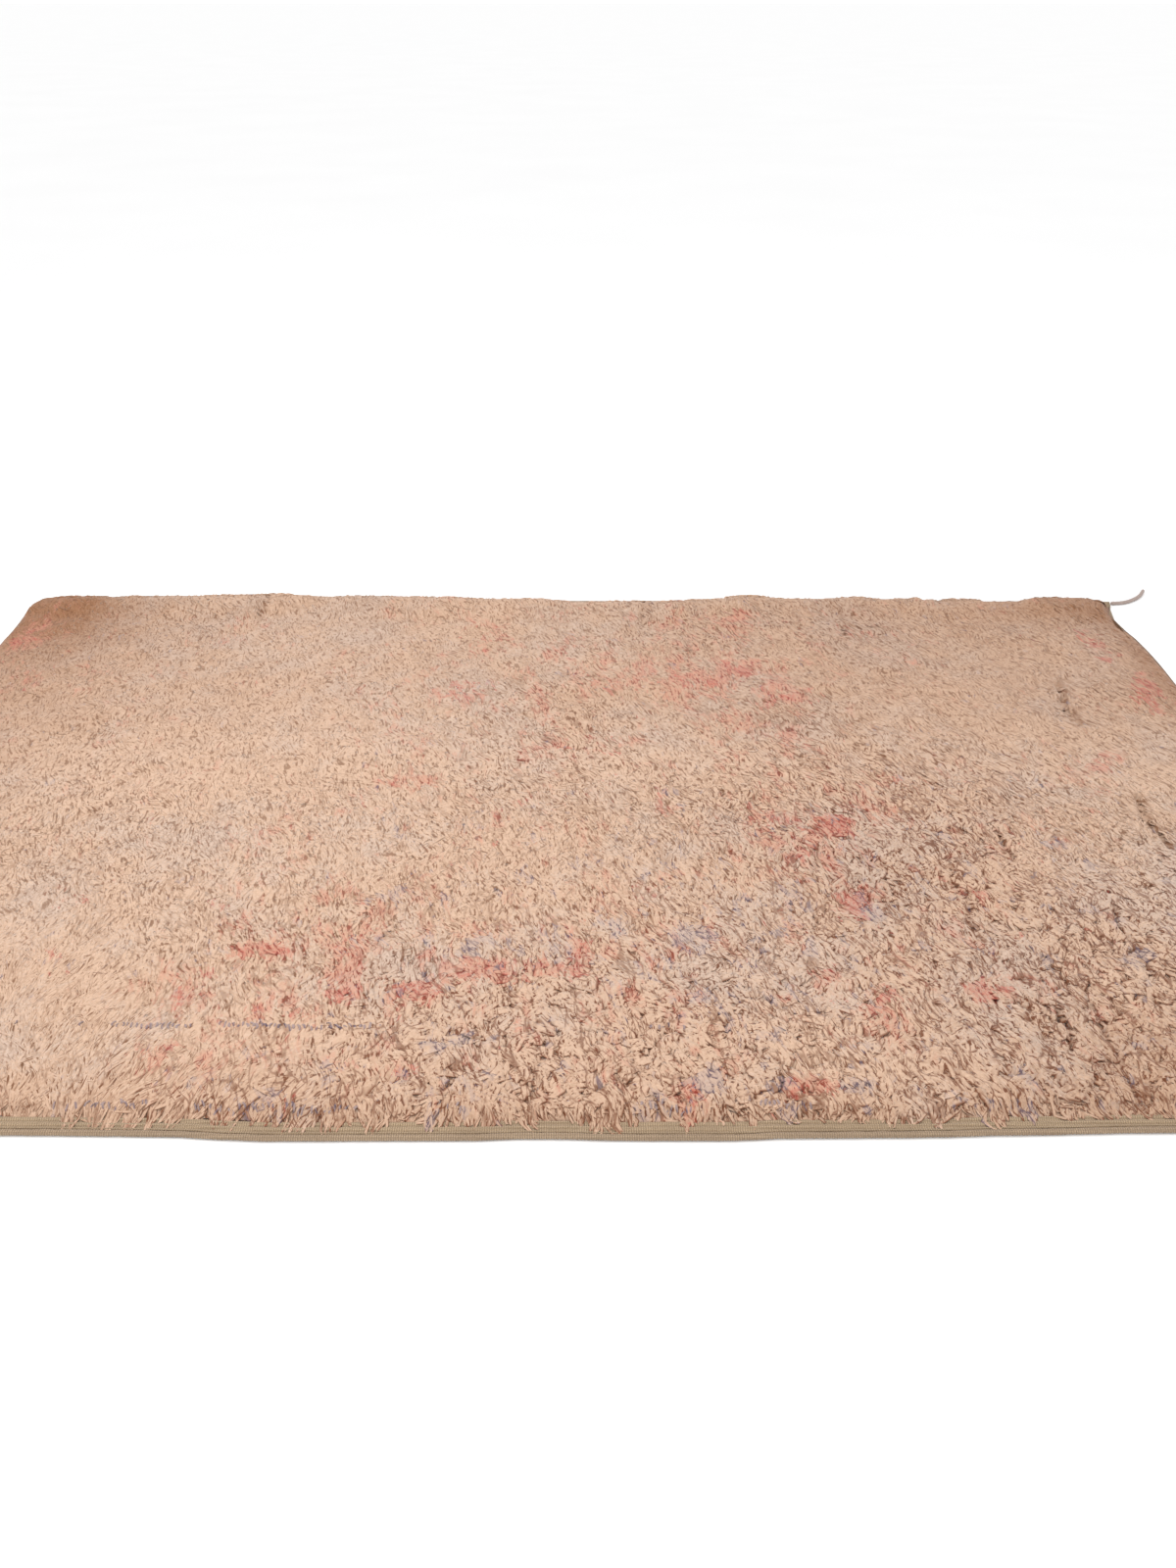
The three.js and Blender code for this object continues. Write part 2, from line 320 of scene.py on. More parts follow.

# %% [markdown]
# Where the rug lay folded, the pile has parted along short crooked lines, and the locks beside such a line
# lean off it. They are listed one by one, because they are few and the eye finds them at once.

# %% Partings
# Each parting: x, from y, to y and how strong, in metres.
PARTINGS = [
    (1.233, 0.25, 0.46, 1.0), (1.242, -0.24, -0.06, 1.0), (1.054, -0.64, -0.44, 0.6),
    (0.90, -0.30, -0.19, 0.7), (0.855, -0.81, -0.71, 0.9), (0.918, -0.79, -0.71, 0.7),
    (0.932, -0.93, -0.81, 1.0), (0.770, -0.54, -0.36, 0.6), (-0.880, 0.82, 0.96, 0.7),
    (0.210, 0.80, 0.92, 0.7), (0.750, 0.72, 0.88, 0.7),
]
PARTING_REACH = 0.010
PARTING_HALF = 3.5 * MM
PARTING_WANDER = 0.010
PARTING_END = 0.03


def parting_line(middle, y):
    """The x of a parting at each y. It wanders a little."""
    return middle + PARTING_WANDER * drift(y * 0, y, 0.07, 21)


def partings(x, y):
    """How near a parting a place is, from 0 to 1, and to which side of it."""
    near, side = np.zeros(x.shape), np.zeros(x.shape)
    for middle, low, high, strength in PARTINGS:
        past = np.maximum(np.maximum(low - y, y - high), 0)
        off = x - parting_line(middle, y)
        here = strength * ease(1 - np.hypot(off, past) / PARTING_REACH)
        side = np.where(here > near, np.sign(off), side)
        near = np.maximum(near, here)
    return near, side


def parted(x, y):
    """Pushes the points of locks out of the partings."""
    for middle, low, high, strength in PARTINGS:
        line = parting_line(middle, y)
        along = ease((y - low) / PARTING_END) * ease((high - y) / PARTING_END)
        apart = np.maximum(np.abs(x - line), PARTING_HALF * strength * along)
        x = np.where(along > 0, line + np.where(x < line, -1, 1) * apart, x)
    return x


print("Partings:", len(PARTINGS))

# %% [markdown]
# The pile isn't alike all over. Near the front on the right it still stands high in loose curls, at the
# left it is combed into long parallel locks, and far away it is worn to a fine nap. Soft hills round places
# in the photograph say how much of each there is, and smooth chance blurs their outlines.

# %% Combed, lively and worn places
def hill(x, y, centre_x, centre_y, half_x, half_y):
    """A soft hill from 0 to 1 round a place."""
    return np.exp(-(((x - centre_x) / half_x) ** 2 + ((y - centre_y) / half_y) ** 2))


def hills(x, y, places):
    """The sum of some hills: x, y, half-length, half-width and height of each."""
    return sum(high * hill(x, y, *place) for *place, high in places)


# The nap leans towards the front of the rug and a little to the right.
NAP_ANGLE = math.radians(-70)
# Where locks are combed, stand lively and are turned off the nap, by how much at most.
COMBED = [(-1.0, -0.80, 0.65, 0.30, 0.5), (0.9, -0.70, 0.6, 0.4, -0.4), (-0.1, -0.85, 0.35, 0.2, -0.35)]
LIVELY = [
    (1.05, -0.70, 0.55, 0.45, 0.38), (0.62, -0.30, 0.25, 0.25, 0.35), (-0.12, -0.78, 0.40, 0.25, 0.26),
    (-1.10, -0.70, 0.55, 0.35, -0.05), (0.60, 0.10, 0.90, 0.60, 0.08), (-0.9, 0.5, 0.6, 0.6, -0.06),
]
TURNED = [
    (-0.55, -0.80, 0.55, 0.20, -1.1), (-0.75, -0.93, 0.6, 0.06, -0.5),
    (-1.38, -0.76, 0.25, 0.09, 1.2), (-1.40, -0.93, 0.30, 0.06, -1.2), (-1.05, -0.84, 0.16, 0.10, 1.3),
]


def combed(x, y):
    """How long and parallel the locks lie, from 0 to 1: most of all along the near edge at the left."""
    return np.clip(0.55 + 0.3 * drift(x, y, 0.33, 31) + hills(x, y, COMBED), 0.05, 1)


def lively(x, y):
    """How high and loose the locks stand, from 0 to 1: worn flat far away, still full near the right."""
    rim = 0.15 * ease((-0.82 - y) / 0.1)
    loose = 0.09 + 0.05 * ease(-y) + hills(x, y, LIVELY) + rim + 0.16 * ragged(x, y, 0.25, 33)
    return np.clip(loose, 0.02, 1)


def fine(x, y):
    """Where the curls are small, from 0 to 1: everywhere but in the lively and the combed places."""
    return ease(1.6 - lively(x, y) / 0.25) * ease(1.6 - combed(x, y) / 0.5)


def worn(x, y):
    """Where the wool is worn down to a fine nap, from 0 to 1: far from the near edge and not lively."""
    return ease((y + 0.65) / 0.5) * ease(1.3 - lively(x, y) / 0.3)


print(f"How lively the pile stands near the right: {lively(np.ones(1), np.full(1, -0.7))[0]:.2f}")

# %% [markdown]
# ## The felt: the surface that the locks lie on
#
# Between the locks the eye meets matted roots. They are a lumpy sheet a little below the pile's top, with
# a mound for each tuft and a furrow for each parting, and they fall to the ground at the rim.

# %% Height of the felt
SELVEDGE_BAND = 0.034
FAR_BAND = 0.022
END_BAND = 0.006
FELT_BELOW_PILE = 6 * MM
FELT_ON_GROUND = 1.5 * MM
FELT_LEAST = 2 * MM
PILE_INSET_X, PILE_INSET_Y = 0.03, 0.055
MOUND = 17 * MM
FURROW = 12 * MM
FAR_RIDGE = 15 * MM
FAR_FOOT, FAR_TOP = 0.80, 0.92
# The far edge lies in soft waves: the middle, half-length and height of each.
FAR_WAVES = [
    (-1.40, 0.30, 9 * MM), (-0.88, 0.25, 12 * MM), (-0.50, 0.20, 9 * MM), (-0.25, 0.20, 7 * MM),
    (0.51, 0.08, 9 * MM), (0.80, 0.22, 9 * MM), (1.40, 0.09, 13 * MM),
]
CORNER_RISE = 11 * MM
TOP_LIMIT = 44 * MM
RIM_FALL = 0.024
RIM_WAVE = 6 * MM
GROUND_TOP = 4 * MM


def inside_rim(x, y):
    """How far inside the pile's rim a place on the plain rectangle lies."""
    wavy = RIM_WAVE * drift(x, y, 0.06, 41) + RIM_WAVE * drift(x, y, 0.25, 42)
    from_side = HALF_WIDTH - np.where(y > 0, FAR_BAND, SELVEDGE_BAND) - np.abs(y)
    from_end = HALF_LENGTH - END_BAND - np.abs(x)
    return np.minimum(from_side, from_end) + wavy


def felt_height(x, y):
    """The felt's height over a place of the plain rectangle."""
    laid_x, laid_y = lay_out(x, y)
    inset_x = np.clip(laid_x, -HALF_LENGTH + PILE_INSET_X, HALF_LENGTH - PILE_INSET_X)
    inset_y = np.clip(laid_y, -HALF_WIDTH + PILE_INSET_Y, HALF_WIDTH - PILE_INSET_Y)
    ground = read_map(lift_map, laid_x, laid_y) + GROUND_TOP
    full = read_map(pile_map, inset_x, inset_y) - FELT_BELOW_PILE
    centre_x, centre_y, inside, chances = tufts(x, y)
    loose = lively(centre_x, centre_y) * (1.1 - combed(centre_x, centre_y))
    mound = MOUND * loose * (inside - 0.7 + 0.3 * chances[..., 0])
    ridge = (FAR_RIDGE + bulges(x, FAR_WAVES)) * ease((y - FAR_FOOT) / (FAR_TOP - FAR_FOOT))
    corner = CORNER_RISE * hill(x, y, -HALF_LENGTH, 0.85, 0.10, 0.35)
    full = full + mound + np.maximum(ridge, corner) - FURROW * partings(x, y)[0]
    full = np.minimum(full, TOP_LIMIT)
    low = ground + FELT_ON_GROUND
    return low + np.maximum(full - low, FELT_LEAST) * ease(inside_rim(x, y) / RIM_FALL)


print(f"Felt at the rug's middle: {felt_height(np.zeros(1), np.zeros(1))[0] / MM:.0f} mm high")

# %% [markdown]
# ## Wool colours
#
# The dyes have faded: most locks are sand and ivory, some keep salmon, brick or violet, and the gaps between
# them take the darker colours of the roots, deepened as painted shade. Colours are written as they look on
# screen and turned into the linear values that Blender mixes.

# %% Wool colours
def dye(red, green, blue):
    """A colour as seen on screen, 0 to 255, as linear values."""
    seen = np.array([red, green, blue]) / 255
    linear = np.where(seen <= 0.04045, seen / 12.92, ((seen + 0.055) / 1.055) ** 2.4)
    return (*linear.tolist(), 1.0)


# Straw is the brown of dust, and also of a painted shadow in the far left corner.
SAND, IVORY, STRAW = dye(204, 171, 146), dye(198, 173, 155), dye(144, 99, 66)
SALMON, BRICK = dye(208, 142, 118), dye(178, 72, 60)
VIOLET, VIOLET_SHADE = dye(158, 142, 145), dye(84, 66, 80)
# The root colours, plain and under brick and violet, are partly the roots' own dye and partly painted shade
# in the gaps.
ROOT_SHADE, SOFT_ROOT_SHADE, BRICK_SHADE = dye(102, 48, 12), dye(112, 70, 38), dye(128, 38, 24)
KHAKI, KHAKI_DARK = dye(194, 169, 134), dye(138, 115, 86)
CORD_BROWN, CORD_DARK = dye(188, 162, 130), dye(126, 104, 80)
TAIL_GREY, TAIL_DARK = dye(204, 188, 182), dye(156, 138, 132)
print("Sand as linear values:", [round(value, 2) for value in SAND[:3]])

# %% [markdown]
# Shader maths could be set out node by node, but a formula is easier to read. A small class wraps a node's
# output, and its operators add the Math nodes.

# %% Shader maths
class Socket:
    """A node's output, with operators that add the Math nodes."""

    def __init__(self, tree, socket):
        self.tree = tree
        self.socket = socket

    def node(self, kind, settings=None, **inputs):
        """A new node. An input is named, or i and its number."""
        made = self.tree.nodes.new(kind)
        for name, value in (settings or {}).items():
            setattr(made, name, value)
        for name, value in inputs.items():
            key = int(name[1:]) if name[0] == "i" and name[1:].isdigit() else name.replace("_", " ")
            into = made.inputs[key]
            if isinstance(value, Socket):
                self.tree.links.new(value.socket, into)
            else:
                into.default_value = value
        return made

    def new(self, output, kind, settings=None, **inputs):
        """One output of a new node."""
        return Socket(self.tree, self.node(kind, settings, **inputs).outputs[output])

    def maths(self, operation, other=0.0, first=None):
        first = self if first is None else first
        return self.new(0, "ShaderNodeMath", {"operation": operation}, i0=first, i1=other)

    def __add__(self, other):
        return self.maths("ADD", other)

    def __mul__(self, other):
        return self.maths("MULTIPLY", other)

    def __sub__(self, other):
        return self.maths("SUBTRACT", other)

    def __rsub__(self, other):
        return self.maths("SUBTRACT", self, first=other)

    __radd__ = __add__
    __rmul__ = __mul__

    def within(self, low, high):
        """0 at low, 1 at high, smooth between."""
        settings = {"interpolation_type": "SMOOTHSTEP"}
        return self.new("Result", "ShaderNodeMapRange", settings, Value=self, From_Min=low, From_Max=high)

    def blend(self, low, high):
        """A colour from low to high as this value goes from 0 to 1."""
        return self.new(2, "ShaderNodeMix", {"data_type": "RGBA"}, i0=self, i6=low, i7=high)

    def times(self, colour):
        """This colour multiplied by another."""
        settings = {"data_type": "RGBA", "blend_type": "MULTIPLY"}
        return self.new(2, "ShaderNodeMix", settings, i0=1.0, i6=self, i7=colour)


print("Socket's methods:", [name for name in vars(Socket) if name[0] != "_"])

# %% What all materials share
WOOL_ROUGHNESS, WOOL_SPECULAR = 0.95, 0.15
PILE_SHEEN, WEAVE_SHEEN, SHEEN_ROUGHNESS = 0.15, 0.1, 0.6


def new_material(name, roughness, sheen):
    """A material, a socket of its Object coordinates and its shader node."""
    material = bpy.data.materials.new(name)
    material.use_nodes = True
    tree = material.node_tree
    shader = tree.nodes["Principled BSDF"]
    shader.inputs["Roughness"].default_value = roughness
    shader.inputs["Sheen Weight"].default_value = sheen
    shader.inputs["Sheen Roughness"].default_value = SHEEN_ROUGHNESS
    shader.inputs["Specular IOR Level"].default_value = WOOL_SPECULAR
    place = Socket(tree, tree.nodes.new("ShaderNodeTexCoord").outputs["Object"])
    return material, place, shader


def noise_at(place, scale, detail=2.0, output="Fac"):
    """A noise from 0 to 1, or three of them as a colour."""
    return place.new(output, "ShaderNodeTexNoise", None, Vector=place, Scale=scale, Detail=detail)


def parts_of(vector):
    """The three numbers of a vector or colour."""
    made = vector.node("ShaderNodeSeparateXYZ", None, Vector=vector)
    return [Socket(vector.tree, out) for out in made.outputs]


def stored(place, name):
    """The three numbers that a piece's points carry under a name."""
    return parts_of(place.new("Vector", "ShaderNodeAttribute", {"attribute_name": name}))


def finish_shader(shader, colour, height, distance, strength=1.0):
    """Joins a colour and a bump's height to a shader."""
    tree = colour.tree
    tree.links.new(colour.socket, shader.inputs["Base Color"])
    bump = height.node("ShaderNodeBump", None, Height=height, Distance=distance, Strength=strength)
    tree.links.new(bump.outputs["Normal"], shader.inputs["Normal"])


print("Wool's roughness:", WOOL_ROUGHNESS)

# %% [markdown]
# Each lock carries three attributes at its points: the weights of its dyes, its shades, and how it lies,
# which is how loose, how near its under-edge and how combed it is. So the pattern of the dye is decided
# where the lock stands, while the colours themselves stay here in the material. The wool turns to root
# colours as painted shade in the short gaps of its nap, between curls, along each lock's under-edge and
# where its shades say it lies deep. The felt is the same wool without strands.

# %% Wool of the pile
NAP_STRETCH = 3.6
NAP_DEPTH = 4.0
CURL_PITCH = 12 * MM
CURL_BEND = 12 * MM
GRAIN_SCALE, SPECK_SCALE, DUST_SCALE = 215.0, 95.0, 190.0
LOCK_BUMP, FELT_BUMP, PILE_BUMP_STRENGTH = 1.8 * MM, 2.8 * MM, 0.45


def bent(place, scale, reach):
    """Coordinates pushed about by noise, so that a pattern on them looks crooked."""
    push = noise_at(place, scale, 1.0, "Color")
    settings = {"operation": "MULTIPLY_ADD"}
    return place.new(0, "ShaderNodeVectorMath", settings, i0=push, i1=(reach,) * 3, i2=place)


def along_nap(place):
    """Coordinates turned and squeezed, so that a pattern on them runs in streaks along the nap."""
    settings = {"vector_type": "TEXTURE"}
    turn, stretch = (0, 0, NAP_ANGLE + math.pi / 2), (1, NAP_STRETCH, NAP_DEPTH)
    swept = bent(place, 13.0, 0.05)
    return place.new(0, "ShaderNodeMapping", settings, Vector=swept, Rotation=turn, Scale=stretch)


def crumpled(nap):
    """Painted shade in the short crooked gaps between curls: 1 in the middle of a gap and 0 on the curls."""
    crooked = bent(nap, 85.0, CURL_BEND)
    settings = {"feature": "DISTANCE_TO_EDGE"}
    border = nap.new("Distance", "ShaderNodeTexVoronoi", settings, Vector=crooked, Scale=1 / CURL_PITCH)
    return (1 - border.within(0.015, 0.13)) * noise_at(nap, 50.0, 1.0).within(0.44, 0.56)


def sprinkled(weight, noise, amount, low, high):
    """A weight broken up by a noise: 0 where their sum is low and 1 where it is high."""
    return (weight + amount * (noise - 0.5)).within(low, high)


def pile_material(name, fibres):
    """Faded wool with painted shade in the short gaps of its nap, with strands or without."""
    material, place, shader = new_material(name, WOOL_ROUGHNESS, PILE_SHEEN)
    red, stain, cool = stored(place, "dyes")
    depth, tone, ivory = stored(place, "shades")
    loose, edge, sleek = stored(place, "lie")
    nap = along_nap(place)
    grain = noise_at(nap, GRAIN_SCALE)
    if fibres:
        strands = noise_at(place.new("UV", "ShaderNodeUVMap", {"uv_map": "fibres"}), 1.0)
        full = (0.4 * loose.within(0.1, 0.45)).maths("MAXIMUM", 0.85 * sleek.within(0.6, 0.95))
        grain = grain + full * (strands - grain)
    # Painted shade goes in the nap's short gaps, between curls and along each lock's under-edge.
    gap = 1 - grain.within(0.37, 0.47)
    curl_shade = crumpled(nap) * (0.2 + 1.1 * loose)
    outline = edge.within(0.5, 1.0) * (0.3 + 1.5 * loose).maths("MINIMUM", 0.92)
    speck_a, speck_b, speck_c = parts_of(noise_at(nap, SPECK_SCALE, output="Color"))
    dust_a, dust_b, dust_c = parts_of(noise_at(place, DUST_SCALE, output="Color"))
    salmon = 0.8 * sprinkled(red, speck_a, 1.4, 0.40, 1.0)
    brick = sprinkled(stain, speck_b, 2.4, 0.74, 0.92)
    violet = sprinkled(cool, speck_c, 1.8, 0.70, 0.80)
    knotted = (cool - 1.4).maths("MAXIMUM", 0.0)
    colour = sprinkled(ivory, dust_b, 1.2, 0.1, 0.9).blend(SAND, IVORY)
    colour = (tone + 0.7 * (dust_c - 0.5)).blend(colour, STRAW)
    colour = (salmon * (0.62 + 0.9 * (dust_a - 0.5))).blend(colour, SALMON)
    colour = (brick * (0.3 + 1.2 * (dust_a - 0.5))).blend(colour, BRICK)
    colour = (violet * 0.25 + knotted * 0.35).blend(colour, VIOLET)
    # Where it is shaded the wool turns to the root colours: painted shade, partly the roots' own dye.
    deep = loose.within(0.08, 0.45).blend(SOFT_ROOT_SHADE, ROOT_SHADE)
    deep = (brick + salmon * 0.9).maths("MINIMUM", 1.0).blend(deep, BRICK_SHADE)
    deep = violet.blend(deep, VIOLET_SHADE)
    gap_shade = gap * (0.59 + 0.9 * loose + 0.2 * sleek.within(0.6, 0.95)).maths("MINIMUM", 0.92)
    dark = gap_shade.maths("MAXIMUM", outline).maths("MAXIMUM", curl_shade) + 0.3 * depth + 0.14 * salmon
    colour = dark.maths("MINIMUM", 0.9).blend(colour, deep)
    shade = 0.98 + 0.1 * (grain - 0.5) + 0.3 * (dust_a - 0.5)
    grey = place.new(0, "ShaderNodeCombineColor", None, Red=shade, Green=shade, Blue=shade)
    bump = LOCK_BUMP if fibres else FELT_BUMP
    finish_shader(shader, colour.times(grey), grain, bump, PILE_BUMP_STRENGTH)
    return material


lock_wool = pile_material("pile_wool", True)
felt_wool = pile_material("felt_wool", False)
print("Nodes in the wool's material:", len(lock_wool.node_tree.nodes))

# %% [markdown]
# The ground is woven flat at the selvedges: thick warps run along the rug as ribs, and fine wefts wrap
# across them every few millimetres. The wefts are bump and a darker line between them, because each is
# under four millimetres wide.

# %% Ground and cord wool
WEFT_PITCH = 3.7 * MM
RIB_PITCH = 10 * MM
WEAVE_BUMP = 2.5 * MM


def stripes(place, axis, pitch, wobble):
    """A wave from 0 to 1 with one crest for each pitch along an axis."""
    along = parts_of(place)[axis] + wobble * noise_at(place, 60.0)
    turn = along * (2 * math.pi / pitch)
    return 0.5 + 0.5 * turn.maths("SINE")


def woven_material(name, light, dark, wobble):
    """Cloth of two colours: the light one on its threads and the dark one between them."""
    material, place, shader = new_material(name, WOOL_ROUGHNESS, WEAVE_SHEEN)
    wefts = stripes(place, 0, WEFT_PITCH, wobble)
    rows = stripes(place, 1, RIB_PITCH / 2, wobble)
    cover = wefts.within(0.0, 0.6) * (0.4 + 0.6 * rows)
    worn = noise_at(place, 9.0, 3.0).within(0.35, 0.65)
    thread = noise_at(place, 500.0, 3.0)
    colour = cover.blend(dark, light)
    colour = (0.35 * worn).blend(colour, dark)
    colour = (0.4 * thread).blend(colour, IVORY)
    finish_shader(shader, colour, 0.5 * wefts + 0.3 * rows + 0.3 * thread, WEAVE_BUMP)
    return material


ground_wool = woven_material("ground_wool", KHAKI, KHAKI_DARK, 2 * MM)
binding_wool = woven_material("binding_wool", CORD_BROWN, CORD_DARK, 1 * MM)
tail_wool = woven_material("tail_wool", TAIL_GREY, TAIL_DARK, 1 * MM)
print("Nodes in the ground's material:", len(ground_wool.node_tree.nodes))

# %% [markdown]
# ## The woven ground
#
# The cloth under the pile could be woven thread by thread, but only its edges show. So it is one grid of
# points, with closer rows at the selvedges so that their ribs have a round top. It is laid out on the real
# outline and lifted by the ripples, then Solidify gives it its thickness downwards.

# %% Helpers that make a piece
FLOOR_CLEARANCE, MERGE_REACH = 0.1 * MM, 0.05 * MM


def linked_piece(mesh, material):
    """An object of a mesh's own name, with its material, in the scene."""
    piece = bpy.data.objects.new(mesh.name, mesh)
    mesh.materials.append(material)
    scene.collection.objects.link(piece)
    return piece


def bent_grid(name, columns, rows, shape, material, closed=True):
    """A piece from a flat grid, whose points a function on arrays of x and y moves to their places."""
    bm = bmesh.new()
    bmesh.ops.create_grid(bm, x_segments=columns, y_segments=rows, size=1)
    flat = np.array([v.co for v in bm.verts])
    places = np.stack(shape(flat[:, 0], flat[:, 1]), 1)
    for vert, place in zip(bm.verts, places):
        vert.co = place
    if closed:
        bmesh.ops.remove_doubles(bm, verts=bm.verts, dist=MERGE_REACH)
        bmesh.ops.holes_fill(bm, edges=bm.edges, sides=0)
        bmesh.ops.recalc_face_normals(bm, faces=bm.faces)
    mesh = bpy.data.meshes.new(name)
    bm.to_mesh(mesh)
    bm.free()
    mesh.polygons.foreach_set("use_smooth", np.ones(len(mesh.polygons), bool))
    return linked_piece(mesh, material)


def apply_modifiers(piece):
    """Swaps a piece's mesh for its evaluated one and drops its modifiers."""
    depsgraph = bpy.context.evaluated_depsgraph_get()
    finished = bpy.data.meshes.new_from_object(piece.evaluated_get(depsgraph))
    piece.modifiers.clear()
    piece.data = finished


print("Points merge within", MERGE_REACH / MM, "mm")

# %% Ground
GROUND_COLUMNS = 110
BAND_ROWS = 21
MIDDLE_ROWS = 24
RIB_RISE = 3.5 * MM
BINDING_WIDTH = 12 * MM
BINDING_GAP = 0.4 * MM
RIBBED_BAND = 2.55 * RIB_PITCH
GROUND_END_GAP = 0.3 * MM
GROUND_OFF_FLOOR = 0.2 * MM
UNDER_PILE = 0.01
ground_edge = HALF_WIDTH - BINDING_WIDTH - BINDING_GAP
band = np.linspace(ground_edge, HALF_WIDTH - SELVEDGE_BAND - UNDER_PILE, BAND_ROWS)
middle = np.linspace(band[-1], -band[-1], MIDDLE_ROWS + 2)[1:-1]
ground_rows = np.concatenate([-band, middle[::-1], band[::-1]])


def ground_shape(u, v):
    """Flat cloth with ribs along its edges, laid out on the rug."""
    row = np.round((v + 1) / 2 * (len(ground_rows) - 1)).astype(int)
    x, y = u * (HALF_LENGTH - GROUND_END_GAP), ground_rows[row]
    inward = ground_edge - np.abs(y)
    rib = np.abs(np.cos(math.pi * inward / RIB_PITCH)) * (inward < RIBBED_BAND)
    laid_x, laid_y = lay_out(x, y)
    return laid_x, laid_y, read_map(lift_map, laid_x, laid_y) + GROUND_TOP + RIB_RISE * rib


ground = bent_grid(
    "woven_ground", GROUND_COLUMNS, len(ground_rows) - 1, ground_shape, ground_wool, closed=False,
)
thick = ground.modifiers.new("thickness", "SOLIDIFY")
thick.thickness = GROUND_TOP - GROUND_OFF_FLOOR
thick.offset = -1
apply_modifiers(ground)
print("Ground:", len(ground.data.polygons), "faces")

# %% [markdown]
# ## The overcast edge cords
#
# Along each long edge the outermost warps are bound into a cord: a yarn is wound round them with slanted
# turns. A real helix of yarn would take ten times the faces, so a grid is rolled up into a tube, whose
# radius swells at each turn of the yarn and pinches between two turns.

# %% Edge cords
WRAP_PITCH = 6 * MM
RINGS_PER_WRAP = 2
CORD_SIDES = 9
SWELL = 0.5 * MM
CORD_HEIGHT = 9 * MM
CORD_END_GAP = 0.5 * MM
WRAP_SLANT = 0.8
UNEVEN_WRAP = 0.4 * MM


def edge_cord(name, side):
    """One bound edge, as a closed tube that lies along the real edge."""

    def roll(u, v):
        turn = math.pi * (v + 1)
        x = u * (HALF_LENGTH - CORD_END_GAP)
        phase = x / WRAP_PITCH + WRAP_SLANT * np.cos(turn) / 2
        swell = SWELL * np.cos(2 * math.pi * phase) + UNEVEN_WRAP * drift(x, turn, 0.02, 51)
        across = (BINDING_WIDTH / 2 - SWELL + swell) * np.cos(turn)
        height = CORD_HEIGHT / 2 + (CORD_HEIGHT / 2 - SWELL + swell) * np.sin(turn)
        y = side * (HALF_WIDTH - BINDING_WIDTH / 2) + across
        laid_x, laid_y = lay_out(x, y)
        return laid_x, laid_y, read_map(lift_map, laid_x, laid_y) + np.maximum(height, FLOOR_CLEARANCE)

    rings = int(2 * HALF_LENGTH / WRAP_PITCH) * RINGS_PER_WRAP
    return bent_grid(name, rings, CORD_SIDES, roll, binding_wool)


cord_near = edge_cord("edge_cord_near", -1)
cord_far = edge_cord("edge_cord_far", 1)
print("Edge cords:", len(cord_near.data.polygons), "faces each")

# %% [markdown]
# ## The corner tail
#
# The leftover warps are twisted into a rope of three strands. The tube follows the route from above, and
# three soft lobes turn round it as it goes, with a blunt end where the rope was cut.

# %% Corner tail
TAIL_RINGS = 120
TAIL_SIDES = 18
TAIL_TURN = 36 * MM
STRANDS = 3
BLUNT_FROM = 0.97
HEADING_STEP = 2 * MM


def along_route(share):
    """Places and headings along the tail's route, for shares of its length from 0 to 1."""
    points = np.array(tail_route)
    steps = np.linalg.norm(np.diff(points, axis=0), axis=1)
    at = np.concatenate([[0], np.cumsum(steps)])
    want = share * at[-1]
    behind, place, ahead = (
        np.stack([np.interp(want + step, at, points[:, k]) for k in range(3)], 1)
        for step in (-HEADING_STEP, 0, HEADING_STEP)
    )
    heading = ahead - behind
    return place, heading / np.linalg.norm(heading, axis=1, keepdims=True)


def twist(u, v):
    """A tube along the route with a lobe for each strand and a blunt end."""
    share, turn = (u + 1) / 2, math.pi * (v + 1)
    place, heading = along_route(share)
    twisted = STRANDS * (turn - 2 * math.pi * share * tail_length / TAIL_TURN)
    lobe = 1.06 + 0.12 * np.cos(twisted)
    ends = np.sqrt(1 - 0.8 * ((share - BLUNT_FROM) / (1 - BLUNT_FROM)).clip(0, 1) ** 2)
    radius = TAIL_RADIUS * lobe * ends * (0.9 + 0.1 * ease((1 - share) / 0.4))
    aside, up = radius * np.cos(turn), radius * np.sin(turn)
    x = place[:, 0] - heading[:, 1] * aside
    y = place[:, 1] + heading[:, 0] * aside
    return x, y, np.maximum(place[:, 2] + up, FLOOR_CLEARANCE)


tail = bent_grid("warp_tail", TAIL_RINGS, TAIL_SIDES, twist, tail_wool)
print("Tail:", len(tail.data.polygons), "faces")
